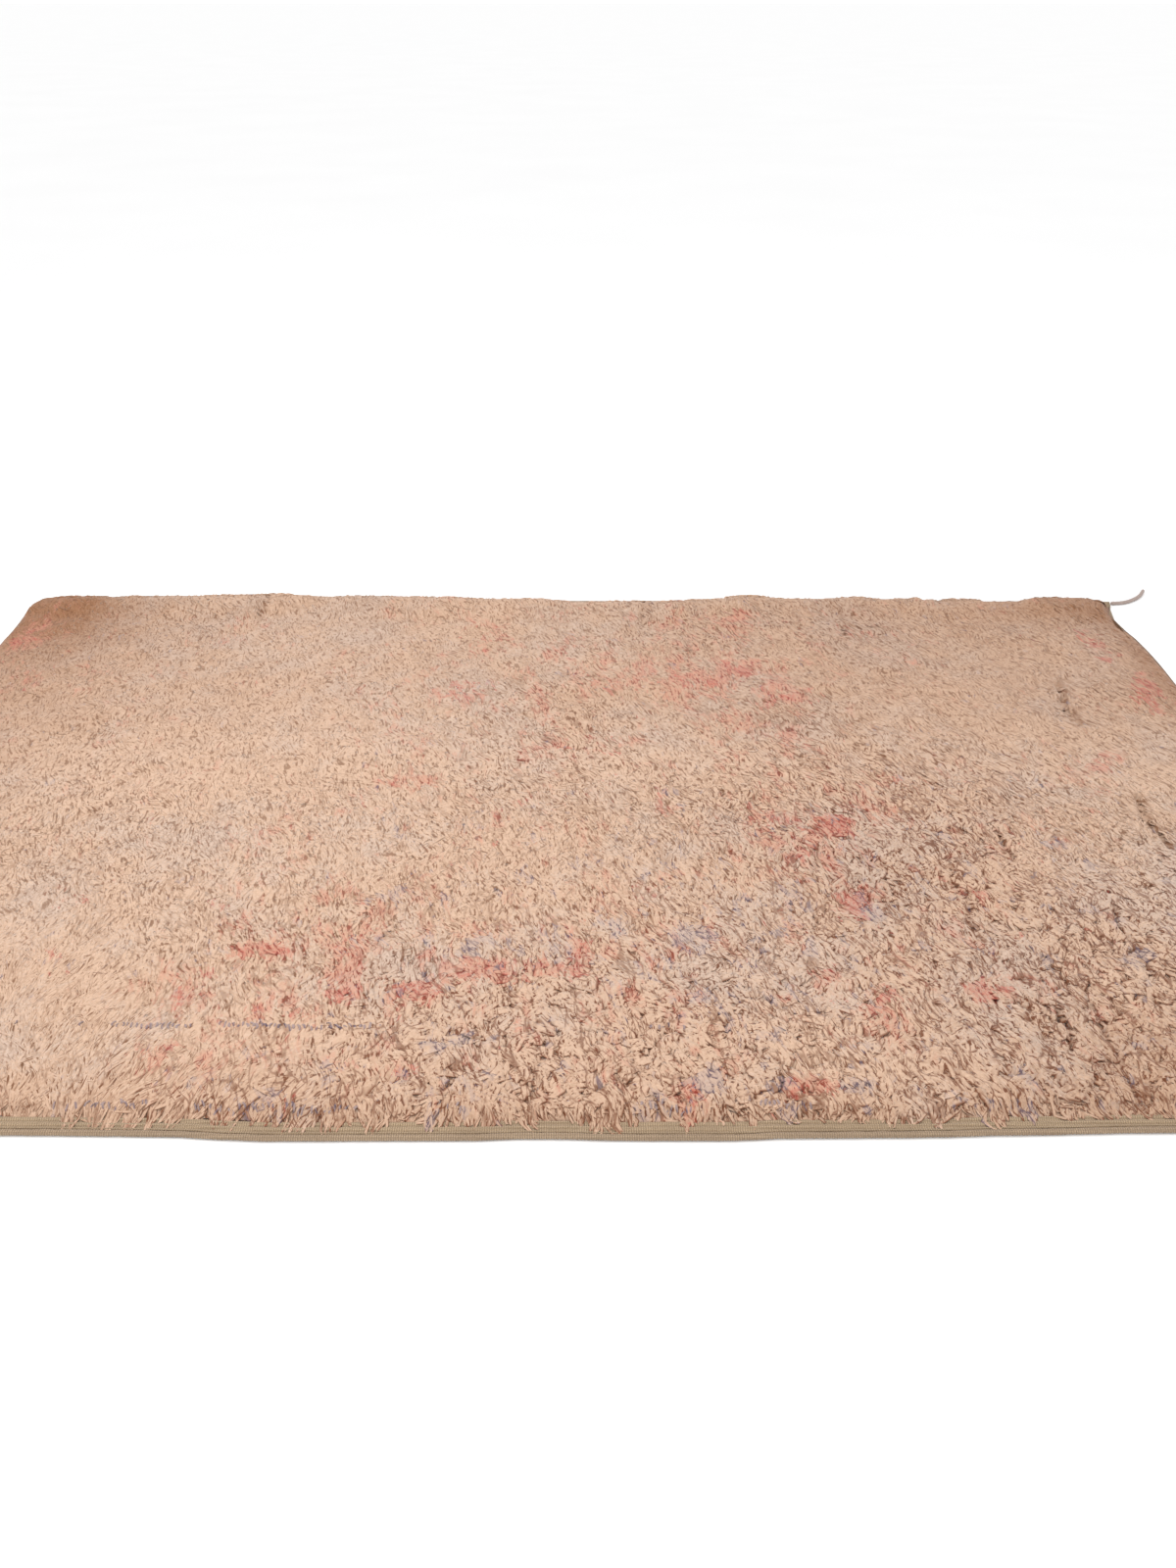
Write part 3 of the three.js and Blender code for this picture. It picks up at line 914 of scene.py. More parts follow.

# %% [markdown]
# ## Where each dye shows
#
# The rug once had a pattern, and what is left of it is a scatter of stains. The ones that stand out are
# listed one by one, in metres on the rug. Between them smooth chance decides how much salmon, brick, violet
# and ivory a lock has.

# %% Stains listed one by one
# Each stain: x, y, half-length, half-width and strength.
BRICK_STAINS = [
    (0.56, -0.17, 0.05, 0.05, 1.0), (0.50, -0.30, 0.04, 0.06, 0.7), (0.57, -0.43, 0.04, 0.05, 0.9),
    (0.46, -0.63, 0.04, 0.02, 0.7), (0.56, -0.71, 0.04, 0.06, 0.8), (0.75, -0.68, 0.05, 0.03, 0.6),
    (0.40, -0.88, 0.06, 0.03, 0.7), (0.21, -0.91, 0.03, 0.03, 0.5), (0.17, -0.40, 0.03, 0.04, 0.5),
    (-0.55, -0.56, 0.06, 0.015, 0.9), (-0.39, -0.67, 0.03, 0.02, 1.0), (-0.25, -0.66, 0.05, 0.02, 1.0),
    (-0.15, -0.61, 0.05, 0.03, 0.9), (-0.06, -0.61, 0.05, 0.03, 0.9), (0.02, -0.57, 0.03, 0.06, 0.7),
    (-0.39, -0.52, 0.03, 0.05, 0.6), (-0.67, -0.44, 0.03, 0.02, 0.8), (-0.96, -0.43, 0.04, 0.02, 0.7),
    (-0.67, -0.66, 0.04, 0.08, 0.6), (-0.50, -0.71, 0.05, 0.02, 0.5), (-0.69, -0.82, 0.03, 0.04, 0.6),
    (-0.26, -0.84, 0.05, 0.02, 0.6), (-0.94, -0.60, 0.04, 0.05, 0.6), (-0.12, -0.12, 0.05, 0.06, 0.6),
    (-0.35, 0.00, 0.05, 0.02, 0.5), (-0.46, -0.11, 0.06, 0.02, 0.5), (-0.64, -0.19, 0.04, 0.015, 0.6),
    (-0.90, -0.18, 0.02, 0.02, 0.5), (-0.04, 0.20, 0.03, 0.08, 0.6), (0.07, 0.16, 0.04, 0.05, 0.5),
    (-0.24, 0.70, 0.05, 0.08, 0.7), (-0.27, 0.42, 0.07, 0.05, 0.7), (-0.05, 0.64, 0.05, 0.07, 0.5),
    (0.44, 0.52, 0.05, 0.05, 0.8), (0.53, 0.38, 0.06, 0.05, 0.6), (0.33, 0.47, 0.05, 0.04, 0.6),
    (0.46, 0.82, 0.05, 0.05, 0.6), (0.20, -0.07, 0.02, 0.09, 0.7), (0.41, -0.14, 0.05, 0.05, 0.6),
    (-1.50, 0.74, 0.05, 0.10, 0.55), (1.40, 0.66, 0.04, 0.09, 1.2), (1.45, 0.40, 0.05, 0.09, 1.1),
    (1.21, 0.07, 0.05, 0.04, 0.7), (1.00, -0.47, 0.04, 0.03, 0.5), (0.80, -0.40, 0.04, 0.05, 0.5),
]
VIOLET_STAINS = [
    (0.25, -0.88, 0.03, 0.03, 1.0), (0.26, -0.70, 0.04, 0.03, 0.8), (0.24, -0.53, 0.05, 0.03, 0.8),
    (0.58, -0.46, 0.02, 0.03, 0.9), (-0.26, -0.85, 0.03, 0.02, 0.7), (-0.19, -0.78, 0.05, 0.02, 0.8),
    (-0.45, -0.90, 0.04, 0.02, 0.7), (0.35, -0.88, 0.03, 0.02, 0.7), (0.47, -0.88, 0.03, 0.02, 0.9),
    (-0.15, -0.53, 0.05, 0.03, 0.6), (1.04, -0.59, 0.03, 0.05, 0.6), (1.05, -0.46, 0.04, 0.04, 0.6),
    (-0.33, -0.40, 0.05, 0.03, 0.5), (0.20, -0.04, 0.02, 0.02, 0.7), (1.06, -0.32, 0.03, 0.04, 0.5),
    (0.73, -0.84, 0.03, 0.03, 0.5), (-0.74, -0.78, 0.05, 0.02, 0.4), (-0.18, -0.88, 0.04, 0.02, 0.6),
]


def stained(x, y, stains):
    """The strength of listed stains, ragged at their edges."""
    found = np.zeros(x.shape)
    ragged_edge = 0.9 * ragged(x, y, 0.03, 61)
    for cx, cy, half_x, half_y, strength in stains:
        far = np.hypot((x - cx) / half_x, (y - cy) / half_y) + ragged_edge
        found = np.maximum(found, strength * ease(1.5 - far))
    return found


print("Stains placed by hand:", len(BRICK_STAINS) + len(VIOLET_STAINS))

# %% Dyes, dust and a painted shadow
# Where salmon and violet have spread, and dust and a painted shadow: x, y, half-length, half-width and
# strength.
SALMON_FIELD = [
    (0.10, 0.50, 0.6, 0.50, 0.30), (-0.35, -0.65, 0.3, 0.25, 0.40), (0.5, -0.30, 0.35, 0.4, 0.22),
    (1.25, -0.6, 0.35, 0.35, -0.22), (-1.50, 0.70, 0.12, 0.20, 0.06), (0.5, 0.45, 0.25, 0.45, 0.12),
    (0.12, -0.62, 0.15, 0.2, 0.25), (0.1, -0.97, 1.6, 0.10, -0.12), (-1.15, -0.70, 0.45, 0.35, -0.26),
    (0.1, -0.86, 0.25, 0.1, 0.12), (-0.7, -0.1, 0.4, 0.25, -0.08),
]
VIOLET_FIELD = [(0.3, -0.60, 0.7, 0.45, 0.30), (1.15, -0.3, 0.4, 0.5, 0.08), (-0.5, -0.9, 0.5, 0.1, 0.15)]
# The first two hills are a painted shadow by the ridge in the far left corner; the rest are dust.
DUST_AND_SHADOW_FIELD = [
    (-1.52, 0.88, 0.28, 0.28, 1.10), (-1.53, 0.85, 0.10, 0.09, 0.70), (-0.55, 0.65, 0.35, 0.35, -0.05),
    (0.95, 0.85, 0.6, 0.25, 0.14), (-1.60, -0.20, 0.40, 0.90, 0.42), (-1.40, 0.50, 0.35, 0.55, 0.16),
    (1.54, 0.45, 0.08, 0.60, 0.70), (1.42, 0.90, 0.22, 0.12, 0.70), (1.00, 0.30, 0.7, 0.6, 0.10),
    (0.2, -0.97, 1.6, 0.12, 0.32), (1.3, -0.50, 0.35, 0.30, -0.28), (0.2, -0.82, 0.6, 0.14, -0.30),
    (1.0, -0.80, 0.2, 0.12, 0.25),
]


def dyes_at(x, y, rng):
    """How much red, stain and violet there is at some places, and how pale their wool is."""
    own = rng.uniform(-1, 1, x.shape)
    red = 0.20 + 0.24 * ragged(x, y, 0.24, 71) + hills(x, y, SALMON_FIELD)
    stain = stained(x, y, BRICK_STAINS)
    brick = 0.4 * red + 0.75 * stain + 0.45 * ragged(x, y, 0.03, 75) + 0.12 * own
    red = red + 0.5 * stain + 0.5 * ragged(1.3 * x, 0.9 * y, 0.05, 73) + 0.08 * own
    cool = 0.05 + hills(x, y, VIOLET_FIELD) + 0.7 * stained(x, y, VIOLET_STAINS)
    ivory = 0.5 * ragged(x, y, 0.2, 81) + 0.4 * ragged(x, y, 0.05, 82) + 0.3 * cool + 0.35
    ivory = ivory - 0.5 * hill(x, y, 0, -0.97, 1.8, 0.14)
    cool = cool + 0.8 * ragged(x, y, 0.03, 77)
    return np.stack([red, brick, cool], 1), ivory


def tone_at(x, y, rng):
    """How far the wool turns to straw, from 0 to 1: dust at both ends, more towards the far side and the
    right, and a painted shadow in the far left corner.
    """
    browned = 0.13 + 0.05 * np.tanh((x - 0.3) / 0.5) + 0.3 * ease((y + 0.05) / 0.5) + hills(x, y, DUST_AND_SHADOW_FIELD)
    browned = browned + 0.08 * ragged(x, y, 0.3, 85) + 0.07 * drift(x, y, 0.04, 87)
    return (0.65 * browned + rng.normal(0, 0.06, x.shape)).clip(0, 1)


def paint(mesh, dyes, shades, loose, edge, sleek):
    """Stores the dye weights, the shades, and how loose, how near its shaded under-edge and how combed a
    lock is.
    """
    lie = np.stack([loose, edge, sleek], 1)
    for name, values in (("dyes", dyes), ("shades", shades), ("lie", lie)):
        layer = mesh.attributes.new(name, "FLOAT_VECTOR", "POINT")
        layer.data.foreach_set("vector", values.astype(np.float32).ravel())


middle_dyes = dyes_at(np.zeros(1), np.zeros(1), np.random.default_rng(1))[0]
print("Red, brick and violet at the rug's middle:", middle_dyes[0].round(2))

# %% [markdown]
# ## The felt
#
# The roots of the knots have matted into a felt, and it shows between the locks and where the pile is worn.
# It is a grid bent by `felt_height` rather than more locks, which would cost far more triangles. It has the
# dyes of its place, with painted shade between loose tufts and in the partings.

# %% Felt
FELT_PITCH = 0.009
FELT_OVERHANG = 4 * MM
felt_half_x = HALF_LENGTH - END_BAND + FELT_OVERHANG
felt_near_y = HALF_WIDTH - SELVEDGE_BAND + FELT_OVERHANG
felt_far_y = HALF_WIDTH - FAR_BAND + FELT_OVERHANG


def felt_shape(u, v):
    """The felt's points, laid out on the rug."""
    x, y = u * felt_half_x, v * np.where(v > 0, felt_far_y, felt_near_y)
    return (*lay_out(x, y), felt_height(x, y))


felt_columns = int(2 * felt_half_x / FELT_PITCH)
felt_rows = int((felt_near_y + felt_far_y) / FELT_PITCH)
felt = bent_grid("pile_felt", felt_columns, felt_rows, felt_shape, felt_wool)
felt_x, felt_y, _ = np.array([v.co for v in felt.data.vertices]).T
felt_rng = np.random.default_rng(91)
felt_dyes, felt_ivory = dyes_at(felt_x, felt_y, felt_rng)
felt_tone = tone_at(felt_x, felt_y, felt_rng)
felt_loose = lively(felt_x, felt_y)
felt_inside = tufts(felt_x, felt_y)[2]
felt_shade_depth = 0.7 * felt_loose * (1.1 - felt_inside) + 2 * partings(felt_x, felt_y)[0]
felt_shades = np.stack([felt_shade_depth.clip(0, 2), felt_tone, felt_ivory], 1)
paint(felt.data, felt_dyes, felt_shades, felt_loose, 0 * felt_loose, 0 * felt_loose)
print("Felt:", len(felt.data.polygons), "faces")

# %% [markdown]
# ## One lock of wool
#
# A lock is a tapering bundle of fibres. At the scale of a room a three-sided cone with three cuts is
# enough, because there are tens of thousands of them. It is made once with operators, and its points are
# read as a share of the lock's length and a direction across it.

# %% One lock, to be repeated
LOCK_CUTS = [0.26, 0.54, 0.84]
LOCK_TAPER = [0.7, 1.0, 1.0, 0.8, 0.0]
LOCK_SIDES = 3
ROOT_END = 0.01
bm = bmesh.new()
bmesh.ops.create_cone(bm, cap_ends=True, segments=LOCK_SIDES, radius1=1, radius2=0, depth=1)
for cut in LOCK_CUTS:
    everything = bm.verts[:] + bm.edges[:] + bm.faces[:]
    bmesh.ops.bisect_plane(bm, geom=everything, plane_co=(0, 0, cut - 0.5), plane_no=(0, 0, 1))
bmesh.ops.remove_doubles(bm, verts=bm.verts, dist=1e-5)
bmesh.ops.recalc_face_normals(bm, faces=bm.faces)
bm.verts.index_update()
lock_points = np.array([v.co for v in bm.verts])
lock_faces = [[v.index for v in face.verts] for face in bm.faces]
bm.free()
lock_along = lock_points[:, 2] + 0.5
lock_angle = np.arctan2(lock_points[:, 1], lock_points[:, 0])
lock_level = np.searchsorted(LOCK_CUTS, lock_along - ROOT_END) + (lock_along > ROOT_END)
lock_width = np.hypot(lock_points[:, 0], lock_points[:, 1]) > 1e-4
top_angle = lock_angle[np.argmax(lock_points[:, 1] * (lock_along < ROOT_END))]
lock_turn = lock_angle - top_angle + math.pi / 2
face_height = [sum(math.sin(lock_turn[k]) * lock_width[k] for k in face) for face in lock_faces]
on_end = [all(lock_along[k] < ROOT_END for k in face) for face in lock_faces]
# The two lower corners of each ring are the lock's edges, which the material darkens with painted shade.
# Its underside and its root end stay flat-shaded.
lock_shade_edge = lock_width * (np.sin(lock_turn) < 0)
lock_smooth = np.array([high > -0.5 and not end for high, end in zip(face_height, on_end)])
print("One lock:", len(lock_points), "points and", len(lock_faces), "faces")

# %% [markdown]
# Every lock gets a small cell of its own in the UV map, with its length up the cell and its three sides
# beside each other, so its colours can be baked without touching its neighbours'.

# %% UV cell of one lock
CAP_SHARE = 0.08
SIDE_SHARE = 0.98
SIDE_TURN = 2 * math.pi / LOCK_SIDES


def cell_of_lock():
    """Where each corner of each face of a lock lies in its cell, from 0 to 1."""
    places = []
    for face, is_end in zip(lock_faces, on_end):
        if is_end:
            places += [(0.1, 0.0), (0.9, 0.0), (0.5, CAP_SHARE * 0.8)]
            continue
        ringed = [k for k in face if lock_width[k]]
        middle = np.angle(np.mean([np.exp(1j * lock_turn[k]) for k in ringed]))
        side = int(round((middle + math.pi / 6) / SIDE_TURN)) % LOCK_SIDES
        for k in face:
            off = np.angle(np.exp(1j * (lock_turn[k] - middle))) / SIDE_TURN
            u = (side + 0.5 + (off if lock_width[k] else 0) * SIDE_SHARE) / LOCK_SIDES
            places.append((u, CAP_SHARE + (1 - CAP_SHARE) * lock_along[k]))
    return np.array(places)


lock_cell = cell_of_lock()
print("Corners in a lock's cell:", len(lock_cell))

# %% [markdown]
# ## Planting the pile
#
# Knots are tied in rows across the rug, so the locks stand in rows too, each a little off its place. What a
# lock does depends on where it stands: in a tuft it falls away from the tuft's middle, where the pile is
# combed it lies along the flow, beside a parting it leans off it, and at the rim it hangs outwards. Hair
# particles could do this too, but plain arrays keep each lock a real shape that other programs can read.

# %% Places of the locks
LOCK_PITCH = 8.8 * MM
LOCK_HALF_WIDTH = 4.8 * MM
LOCK_FLATNESS = 0.55
SHORT_LOCK, LONG_LOCK = 28 * MM, 54 * MM
TUFT_REACH = 0.68
CLUMPING = 0.5
CLUMP_SHIFT = 9 * MM
FREE_TIPS = 0.6
STRAY_SHARE, STRAY_TURN = 0.07, 2.5
OFF_PLACE = 0.32
RIM_ZONE = 0.045
RIM_PITCH = 3.6 * MM
RIM_DEPTH = 20 * MM
FRINGE_DEPTH = 0.03
END_LIMIT = HALF_LENGTH - 1 * MM
KNOT_LENGTH = 13 * MM
# How far locks of each kind rise over the felt and swing aside, in millimetres, and how uneven they are.
RISE_FLAT, RISE_LOOSE, RISE_RIM, RISE_KNOT = 0.1, 2.6, 0.8, 2.0
CURL_LOOSE, CURL_COMBED = 7.5, 2.5
LENGTH_SPREAD, SIZE_SPREAD = 0.16, 0.2
PILE_END_INSET, PILE_SIDE_INSET = 6 * MM, 2 * MM
pile_half_x = HALF_LENGTH - END_BAND - PILE_END_INSET
pile_near_y = HALF_WIDTH - SELVEDGE_BAND - PILE_SIDE_INSET
pile_far_y = HALF_WIDTH - FAR_BAND - PILE_SIDE_INSET
lock_columns = int(2 * pile_half_x / LOCK_PITCH)
lock_rows = int((pile_near_y + pile_far_y) / LOCK_PITCH)
row_y = (pile_near_y + pile_far_y) * (np.arange(lock_rows) + 0.5) / lock_rows - pile_near_y


def crowd(y):
    """The share of places that still hold a lock: all near the full edge, fewer where the pile is worn."""
    return 0.07 + 0.93 * ease((0.15 - y) / 0.6)


def plant(rng, rows):
    """Places on the plain rectangle for the locks of some rows."""
    xs = np.linspace(-pile_half_x, pile_half_x, lock_columns)
    x, y = (grid.ravel() for grid in np.meshgrid(xs, row_y[rows], indexing="ij"))
    kept = rng.random(x.shape) < crowd(y) * (1 - 0.15 * lively(x, y))
    x, y = x[kept], y[kept]
    x = x + rng.normal(0, OFF_PLACE, x.shape) * LOCK_PITCH
    y = y + rng.normal(0, OFF_PLACE, y.shape) * LOCK_PITCH
    for edge, row in ((-pile_near_y, 0), (pile_far_y, lock_rows - 1)):
        if row in rows:
            extra = rng.uniform(-pile_half_x, pile_half_x, int(2 * pile_half_x / RIM_PITCH))
            x = np.append(x, extra)
            y = np.append(y, edge - np.sign(edge) * rng.uniform(0, RIM_DEPTH, extra.shape))
    return x.clip(-pile_half_x, pile_half_x), y.clip(-pile_near_y, pile_far_y)


print("Rows of locks:", lock_rows)

# %% Which way each lock falls
def headings(x, y, rng):
    """The unit direction in which each lock falls, how combed it is and how near the rim."""
    centre_x, centre_y, _, chances = tufts(x, y)
    comb = combed(centre_x, centre_y)
    flow = NAP_ANGLE - 0.18 * centre_x + hills(centre_x, centre_y, TURNED)
    flow = flow + 0.6 * drift(centre_x, centre_y, 0.3, 101) + 0.6 * ragged(centre_x, centre_y, 0.1, 103)
    wild = (1.15 - comb) * (1 - 0.7 * ease((centre_y - 0.1) / 0.5))
    angle = flow + 1.5 * wild * chances[..., 1] + rng.normal(0, 0.2, x.shape)
    angle = angle + STRAY_TURN * rng.uniform(-1, 1, x.shape) * (rng.random(x.shape) < STRAY_SHARE)
    out_x, out_y = (x - centre_x) / (0.5 * TUFT_PITCH), (y - centre_y) / (0.5 * TUFT_PITCH)
    spread = 0.4 - 0.6 * comb
    head_x = np.cos(angle) + spread * out_x
    head_y = np.sin(angle) + spread * out_y
    near, side = partings(x, y)
    head_x = head_x + 1.6 * near * side
    rim_y = ease(1 - np.minimum(pile_near_y + y, pile_far_y - y) / RIM_ZONE)
    rim_x = ease(1 - (pile_half_x - np.abs(x)) / RIM_ZONE)
    head_x = head_x + 0.7 * rim_x * np.sign(x)
    head_x = head_x + 1.1 * rim_y * (0.7 * chances[..., 2] + 0.6 * drift(x, y, 0.12, 105))
    head_y = head_y + rim_y * np.where(y > 0, 1.9, -0.7)
    size = np.hypot(head_x, head_y) + 1e-6
    return head_x / size, head_y / size, comb, rim_x, rim_y


# %% The path of each lock
def lock_paths(x, y, rng, knots):
    """The middle line of each lock, as x, y and z at its points' shares. Places come as columns."""
    head_x, head_y, comb, rim_x, rim_y = headings(x, y, rng)
    if knots:
        head_x, head_y, comb = 0.3 * head_x, np.ones(x.shape), np.ones(x.shape)
    centre_x, centre_y, _, chances = tufts(x, y)
    chance_a, chance_b, chance_c = chances[..., 0], chances[..., 1], chances[..., 2]
    length = (SHORT_LOCK + (LONG_LOCK - SHORT_LOCK) * comb) * (1 - 0.1 * worn(x, y))
    uneven = 0.45 * chance_a + 0.45 * drift(x, y, 0.07, 45)
    length = length * (1 + rim_y * (uneven - 0.35)) * (1 - 0.45 * rim_x) * (1 - 0.25 * fine(x, y))
    length = length * rng.lognormal(0, LENGTH_SPREAD, x.shape)
    if knots:
        length = KNOT_LENGTH * rng.lognormal(0, SIZE_SPREAD, x.shape)
    else:
        length = length.clip(0.5 * SHORT_LOCK, 1.25 * LONG_LOCK)
    loose = lively(x, y)
    rise = (RISE_FLAT + RISE_LOOSE * loose + RISE_RIM * rim_y + RISE_KNOT * knots) * MM
    rise = rise * rng.lognormal(0, SIZE_SPREAD, x.shape)
    own_curl = rng.normal(0, 0.5, x.shape).clip(-1, 1)
    curl = (CURL_LOOSE - (CURL_LOOSE - CURL_COMBED) * comb) * MM * (1 - 0.6 * worn(x, y))
    curl = curl * (1.2 * chance_c + own_curl)
    turns = 0.95 - 0.3 * comb + 0.2 * chance_a + rng.uniform(-0.08, 0.08, x.shape)
    phase = 0.7 * chance_b + rng.uniform(-0.3, 0.3, x.shape)

    # Each lock runs ahead and swings aside in a wave.
    t = lock_along
    ahead = length * (t - 0.5)
    aside = curl * (np.sin(turns * 2 * math.pi * t + phase) - np.sin(phase))
    path_x = x + ahead * head_x - aside * head_y
    path_y = y + ahead * head_y + aside * head_x

    # It is held inside its tuft where it isn't combed, and drawn to a clump's middle at the rim.
    at_rim = np.maximum(rim_x, rim_y)
    off_x, off_y = path_x - centre_x, path_y - centre_y
    reach = TUFT_REACH * TUFT_PITCH / np.maximum(np.hypot(off_x, off_y), 1e-6)
    held = ((1 - 1.6 * comb) * (1 - at_rim)).clip(0, 1)
    kept = 1 - held * (1 - np.minimum(reach, 1))
    path_y = (centre_y + off_y * kept).clip(-HALF_WIDTH, HALF_WIDTH)
    path_x = centre_x + off_x * kept
    path_x = path_x - CLUMPING * rim_y * t * t * (path_x - centre_x)
    path_y = (path_y - CLUMP_SHIFT * rim_y * chance_a * (y < 0)).clip(-HALF_WIDTH, HALF_WIDTH)
    path_x = parted(path_x, path_y).clip(-END_LIMIT, END_LIMIT)

    # It arches over the felt, and painted shade darkens it where it is buried, at a tuft's border or in a
    # parting;
    # at its root this is partly the root's own darker dye.
    free = at_rim * FREE_TIPS
    arch = np.sin(math.pi * (0.04 + (0.90 - 0.12 * free) * t)) - 0.25 * (1 - free) * (t > 0.9)
    height = felt_height(path_x, path_y) + rise * arch
    border = 1 - tufts(path_x, path_y)[2]
    depth = (0.1 + 1.3 * loose) * ease((border - 0.3) / 0.5)
    depth = depth + (1 - ease(t / 0.35)) * (0.08 + 0.25 * loose) + 2.0 * partings(path_x, path_y)[0]
    return np.stack([*lay_out(path_x, path_y), height], 2), loose, depth.clip(0, 2)


# %% Points round the paths
def lock_mesh(x, y, rng, knots):
    """Points of all locks round their paths, and how deep in the pile each one is, which sets its painted
    shade.
    """
    path, loose, depth = lock_paths(x, y, rng, knots)
    levels = range(lock_level.max() + 1)
    middle = np.stack([path[:, np.argmax(lock_level == level)] for level in levels], 1)
    heading = np.gradient(middle, axis=1)
    heading /= np.linalg.norm(heading, axis=2, keepdims=True) + 1e-9
    ahead = heading[:, lock_level]
    side = np.stack([-ahead[..., 1], ahead[..., 0], 0 * ahead[..., 0]], 2)
    side /= np.linalg.norm(side, axis=2, keepdims=True) + 1e-9
    up = np.cross(ahead, side)
    taper = np.interp(lock_along, [0, *LOCK_CUTS, 1], LOCK_TAPER)
    fringe = ease((-pile_near_y + FRINGE_DEPTH - y) / FRINGE_DEPTH)
    size = (1 + 0.7 * loose) * (1 - 0.5 * fringe) * (1 - 0.3 * fine(x, y)) * (1 - 0.6 * knots)
    size = size * rng.lognormal(0, SIZE_SPREAD, x.shape)
    thick = size * taper * lock_width
    roll = rng.normal(0, 0.3, x.shape) + lock_turn
    across = LOCK_HALF_WIDTH * thick * np.cos(roll)
    above = LOCK_FLATNESS * LOCK_HALF_WIDTH * (0.06 + loose) * thick * np.sin(roll)
    return path + across[..., None] * side + above[..., None] * up, depth


# %% [markdown]
# The pile is planted in strips along the rug, so that no piece holds more than some two hundred thousand
# triangles. Each strip is one mesh, joined from arrays: the points of all its locks, the faces of one lock
# again and again with their indices moved on, and the UV cells in a grid.

# %% Strips of pile
STRIPS = 5
CELL_COLUMNS = 128
CELL_INSET = 0.04
FIBRES_ROUND, FIBRE_WAVES = 6.0, 2.0
FIBRE_START = 40
SHARP_ANGLE = math.radians(100)
KNOT_DARKER, KNOT_EDGE, KNOT_COOL = 0.8, 0.3, 2.6
FAR_RIM, FAR_RIM_EASE, FAR_RIM_EDGE = 0.86, 0.05, 0.9
filled = np.cumsum(crowd(row_y))
strip_of_row = (STRIPS * (filled - 0.5 * crowd(row_y)) / filled[-1]).astype(int)


def add_uv(mesh, name, places):
    """A UV map with a place for each corner."""
    layer = mesh.uv_layers.new(name=name, do_init=False)
    layer.uv.foreach_set("vector", places.astype(np.float32).ravel())


def joined_locks(name, x, y, rng, knots=False):
    """One mesh of all the locks that stand at some places."""
    count, size = len(x), len(lock_points)

    def each(values):
        """A value of each lock, for each of its points."""
        return np.repeat(values, size, axis=0)

    points, depth = lock_mesh(x[:, None], y[:, None], rng, knots)
    faces = [[k + size * n for k in face] for n in range(count) for face in lock_faces]
    mesh = bpy.data.meshes.new(name)
    mesh.from_pydata(points.reshape(-1, 3).tolist(), [], faces)
    mesh.polygons.foreach_set("use_smooth", np.tile(lock_smooth, count))
    mesh.set_sharp_from_angle(angle=SHARP_ANGLE)
    dyes, ivory = dyes_at(x, y, rng)
    if knots:
        dyes[:, 2] = KNOT_COOL
    shades = np.stack([depth.ravel() + KNOT_DARKER * knots, each(tone_at(x, y, rng)), each(ivory)], 1)
    # The painted shade along the under-edges is weaker on the knots and at the far rim.
    behind = ease((y - FAR_RIM) / FAR_RIM_EASE)
    edge = np.tile(lock_shade_edge, count) * each(1 - (1 - KNOT_EDGE) * knots - FAR_RIM_EDGE * behind)
    paint(mesh, each(dyes), shades, each(lively(x, y)), edge, each(combed(x, y)))
    cells = np.array([CELL_COLUMNS, -(-count // CELL_COLUMNS)])
    corner = np.stack([np.arange(count) % CELL_COLUMNS, np.arange(count) // CELL_COLUMNS], 1)[:, None]
    inset = CELL_INSET + (1 - 2 * CELL_INSET) * lock_cell
    add_uv(mesh, "OFBake", corner / cells + inset / cells)
    start = rng.uniform(0, FIBRE_START, (count, 1, 2))
    add_uv(mesh, "fibres", start + lock_cell * np.array([FIBRES_ROUND, FIBRE_WAVES]))
    print(name, count, "locks")
    return linked_piece(mesh, lock_wool)


def pile_strip(index):
    """The locks of one strip, with chance of their own."""
    rng = np.random.default_rng(1000 + index)
    x, y = plant(rng, np.flatnonzero(strip_of_row == index))
    return joined_locks(f"pile_strip_{index + 1}", x, y, rng)


strips = [pile_strip(index) for index in range(STRIPS)]
print("Strips:", len(strips))

# %% [markdown]
# Two broken rows of violet knots run along the rug near its front. Their knots lie across the row, short and
# close, on top of the other locks.

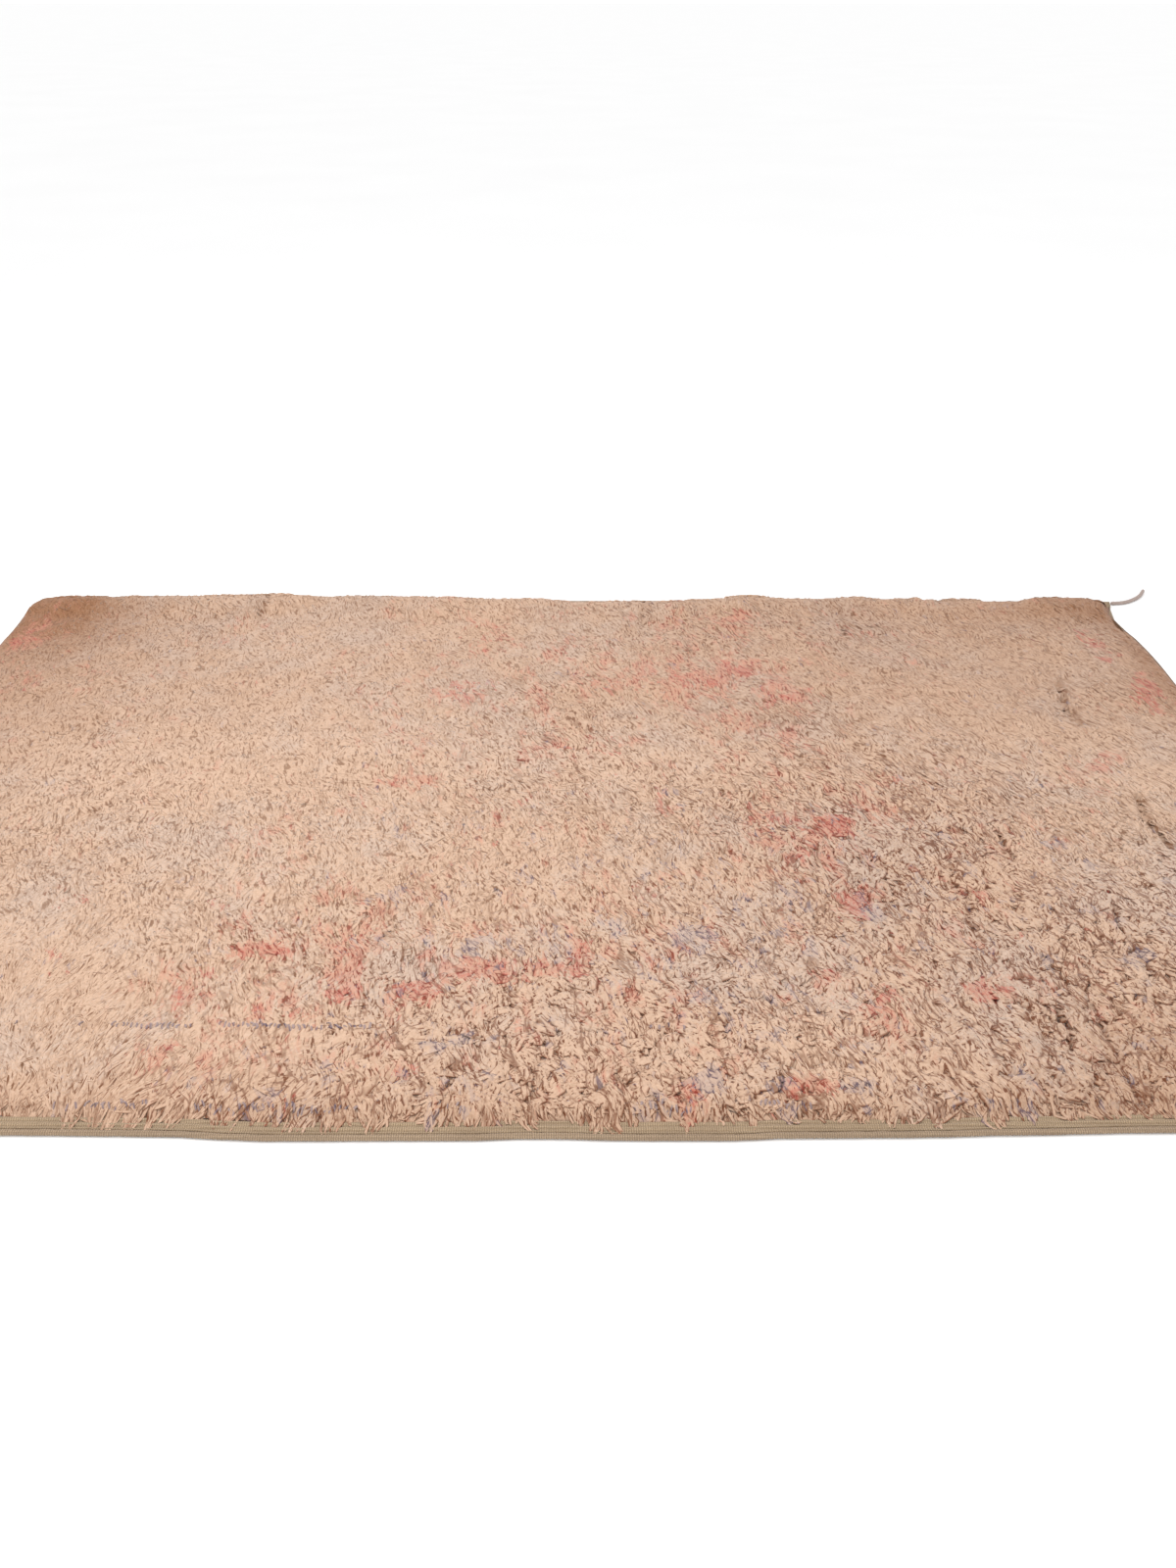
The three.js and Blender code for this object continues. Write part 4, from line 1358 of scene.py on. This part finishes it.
# %% Rows of violet knots
# Each row: y, from x, to x and how full it is.
KNOT_ROWS = [(-0.75, -1.45, -0.30, 0.55), (-0.75, 0.0, 0.30, 0.3), (-0.922, -1.35, 0.40, 0.5)]
KNOT_PITCH = 8 * MM
ROW_WANDER, KNOT_OFF_ROW = 2.5 * MM, 3 * MM
knot_rng = np.random.default_rng(1200)


def knots_of_row(y, low, high, full):
    """Where a broken row still has its knots."""
    x = np.arange(low, high, KNOT_PITCH)
    x = x + knot_rng.normal(0, 0.1 * KNOT_PITCH, x.shape)
    x = x[drift(x, 0 * x, 0.09, 79) + 0.4 * knot_rng.uniform(-1, 1, x.shape) > 0.7 - 1.2 * full]
    off = ROW_WANDER * drift(x, 0 * x + y, 0.05, 80)
    return np.stack([x, y + off + KNOT_OFF_ROW * knot_rng.uniform(-1, 1, x.shape)])


knot_x, knot_y = np.concatenate([knots_of_row(*row) for row in KNOT_ROWS], 1)
strips.append(joined_locks("knot_rows", knot_x, knot_y, knot_rng, knots=True))

# %% [markdown]
# ## Floor finish
#
# The floor only has to be pale and quiet. A faint noise keeps it from looking like an empty page.

# %% Floor finish
floor_paint, floor_place, floor_shader = new_material("floor_paint", 0.9, 0.0)
pale = noise_at(floor_place, 0.8).blend(dye(246, 246, 246), dye(250, 250, 250))
floor_paint.node_tree.links.new(pale.socket, floor_shader.inputs["Base Color"])
floor.data.materials.append(floor_paint)
print("Nodes in the floor's material:", len(floor_paint.node_tree.nodes))

# %% [markdown]
# ## Joining the looks to the frame
#
# Nothing on a rug moves by itself, so all pieces ride on its one body. Each is listed with the solid that it
# stands for, and that solid is hidden.

# %% Frame
for piece, node, finish in (
    (ground, "ground_weave", "ground_wool"),
    (cord_near, "selvedge_binding_near", "binding_wool"),
    (cord_far, "selvedge_binding_far", "binding_wool"),
    (tail, "corner_tail", "tail_wool"),
    (felt, "shag_pile", "pile_wool"),
    *((strip, "shag_pile", "pile_wool") for strip in strips),
):
    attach(piece, "root")
    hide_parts(node)
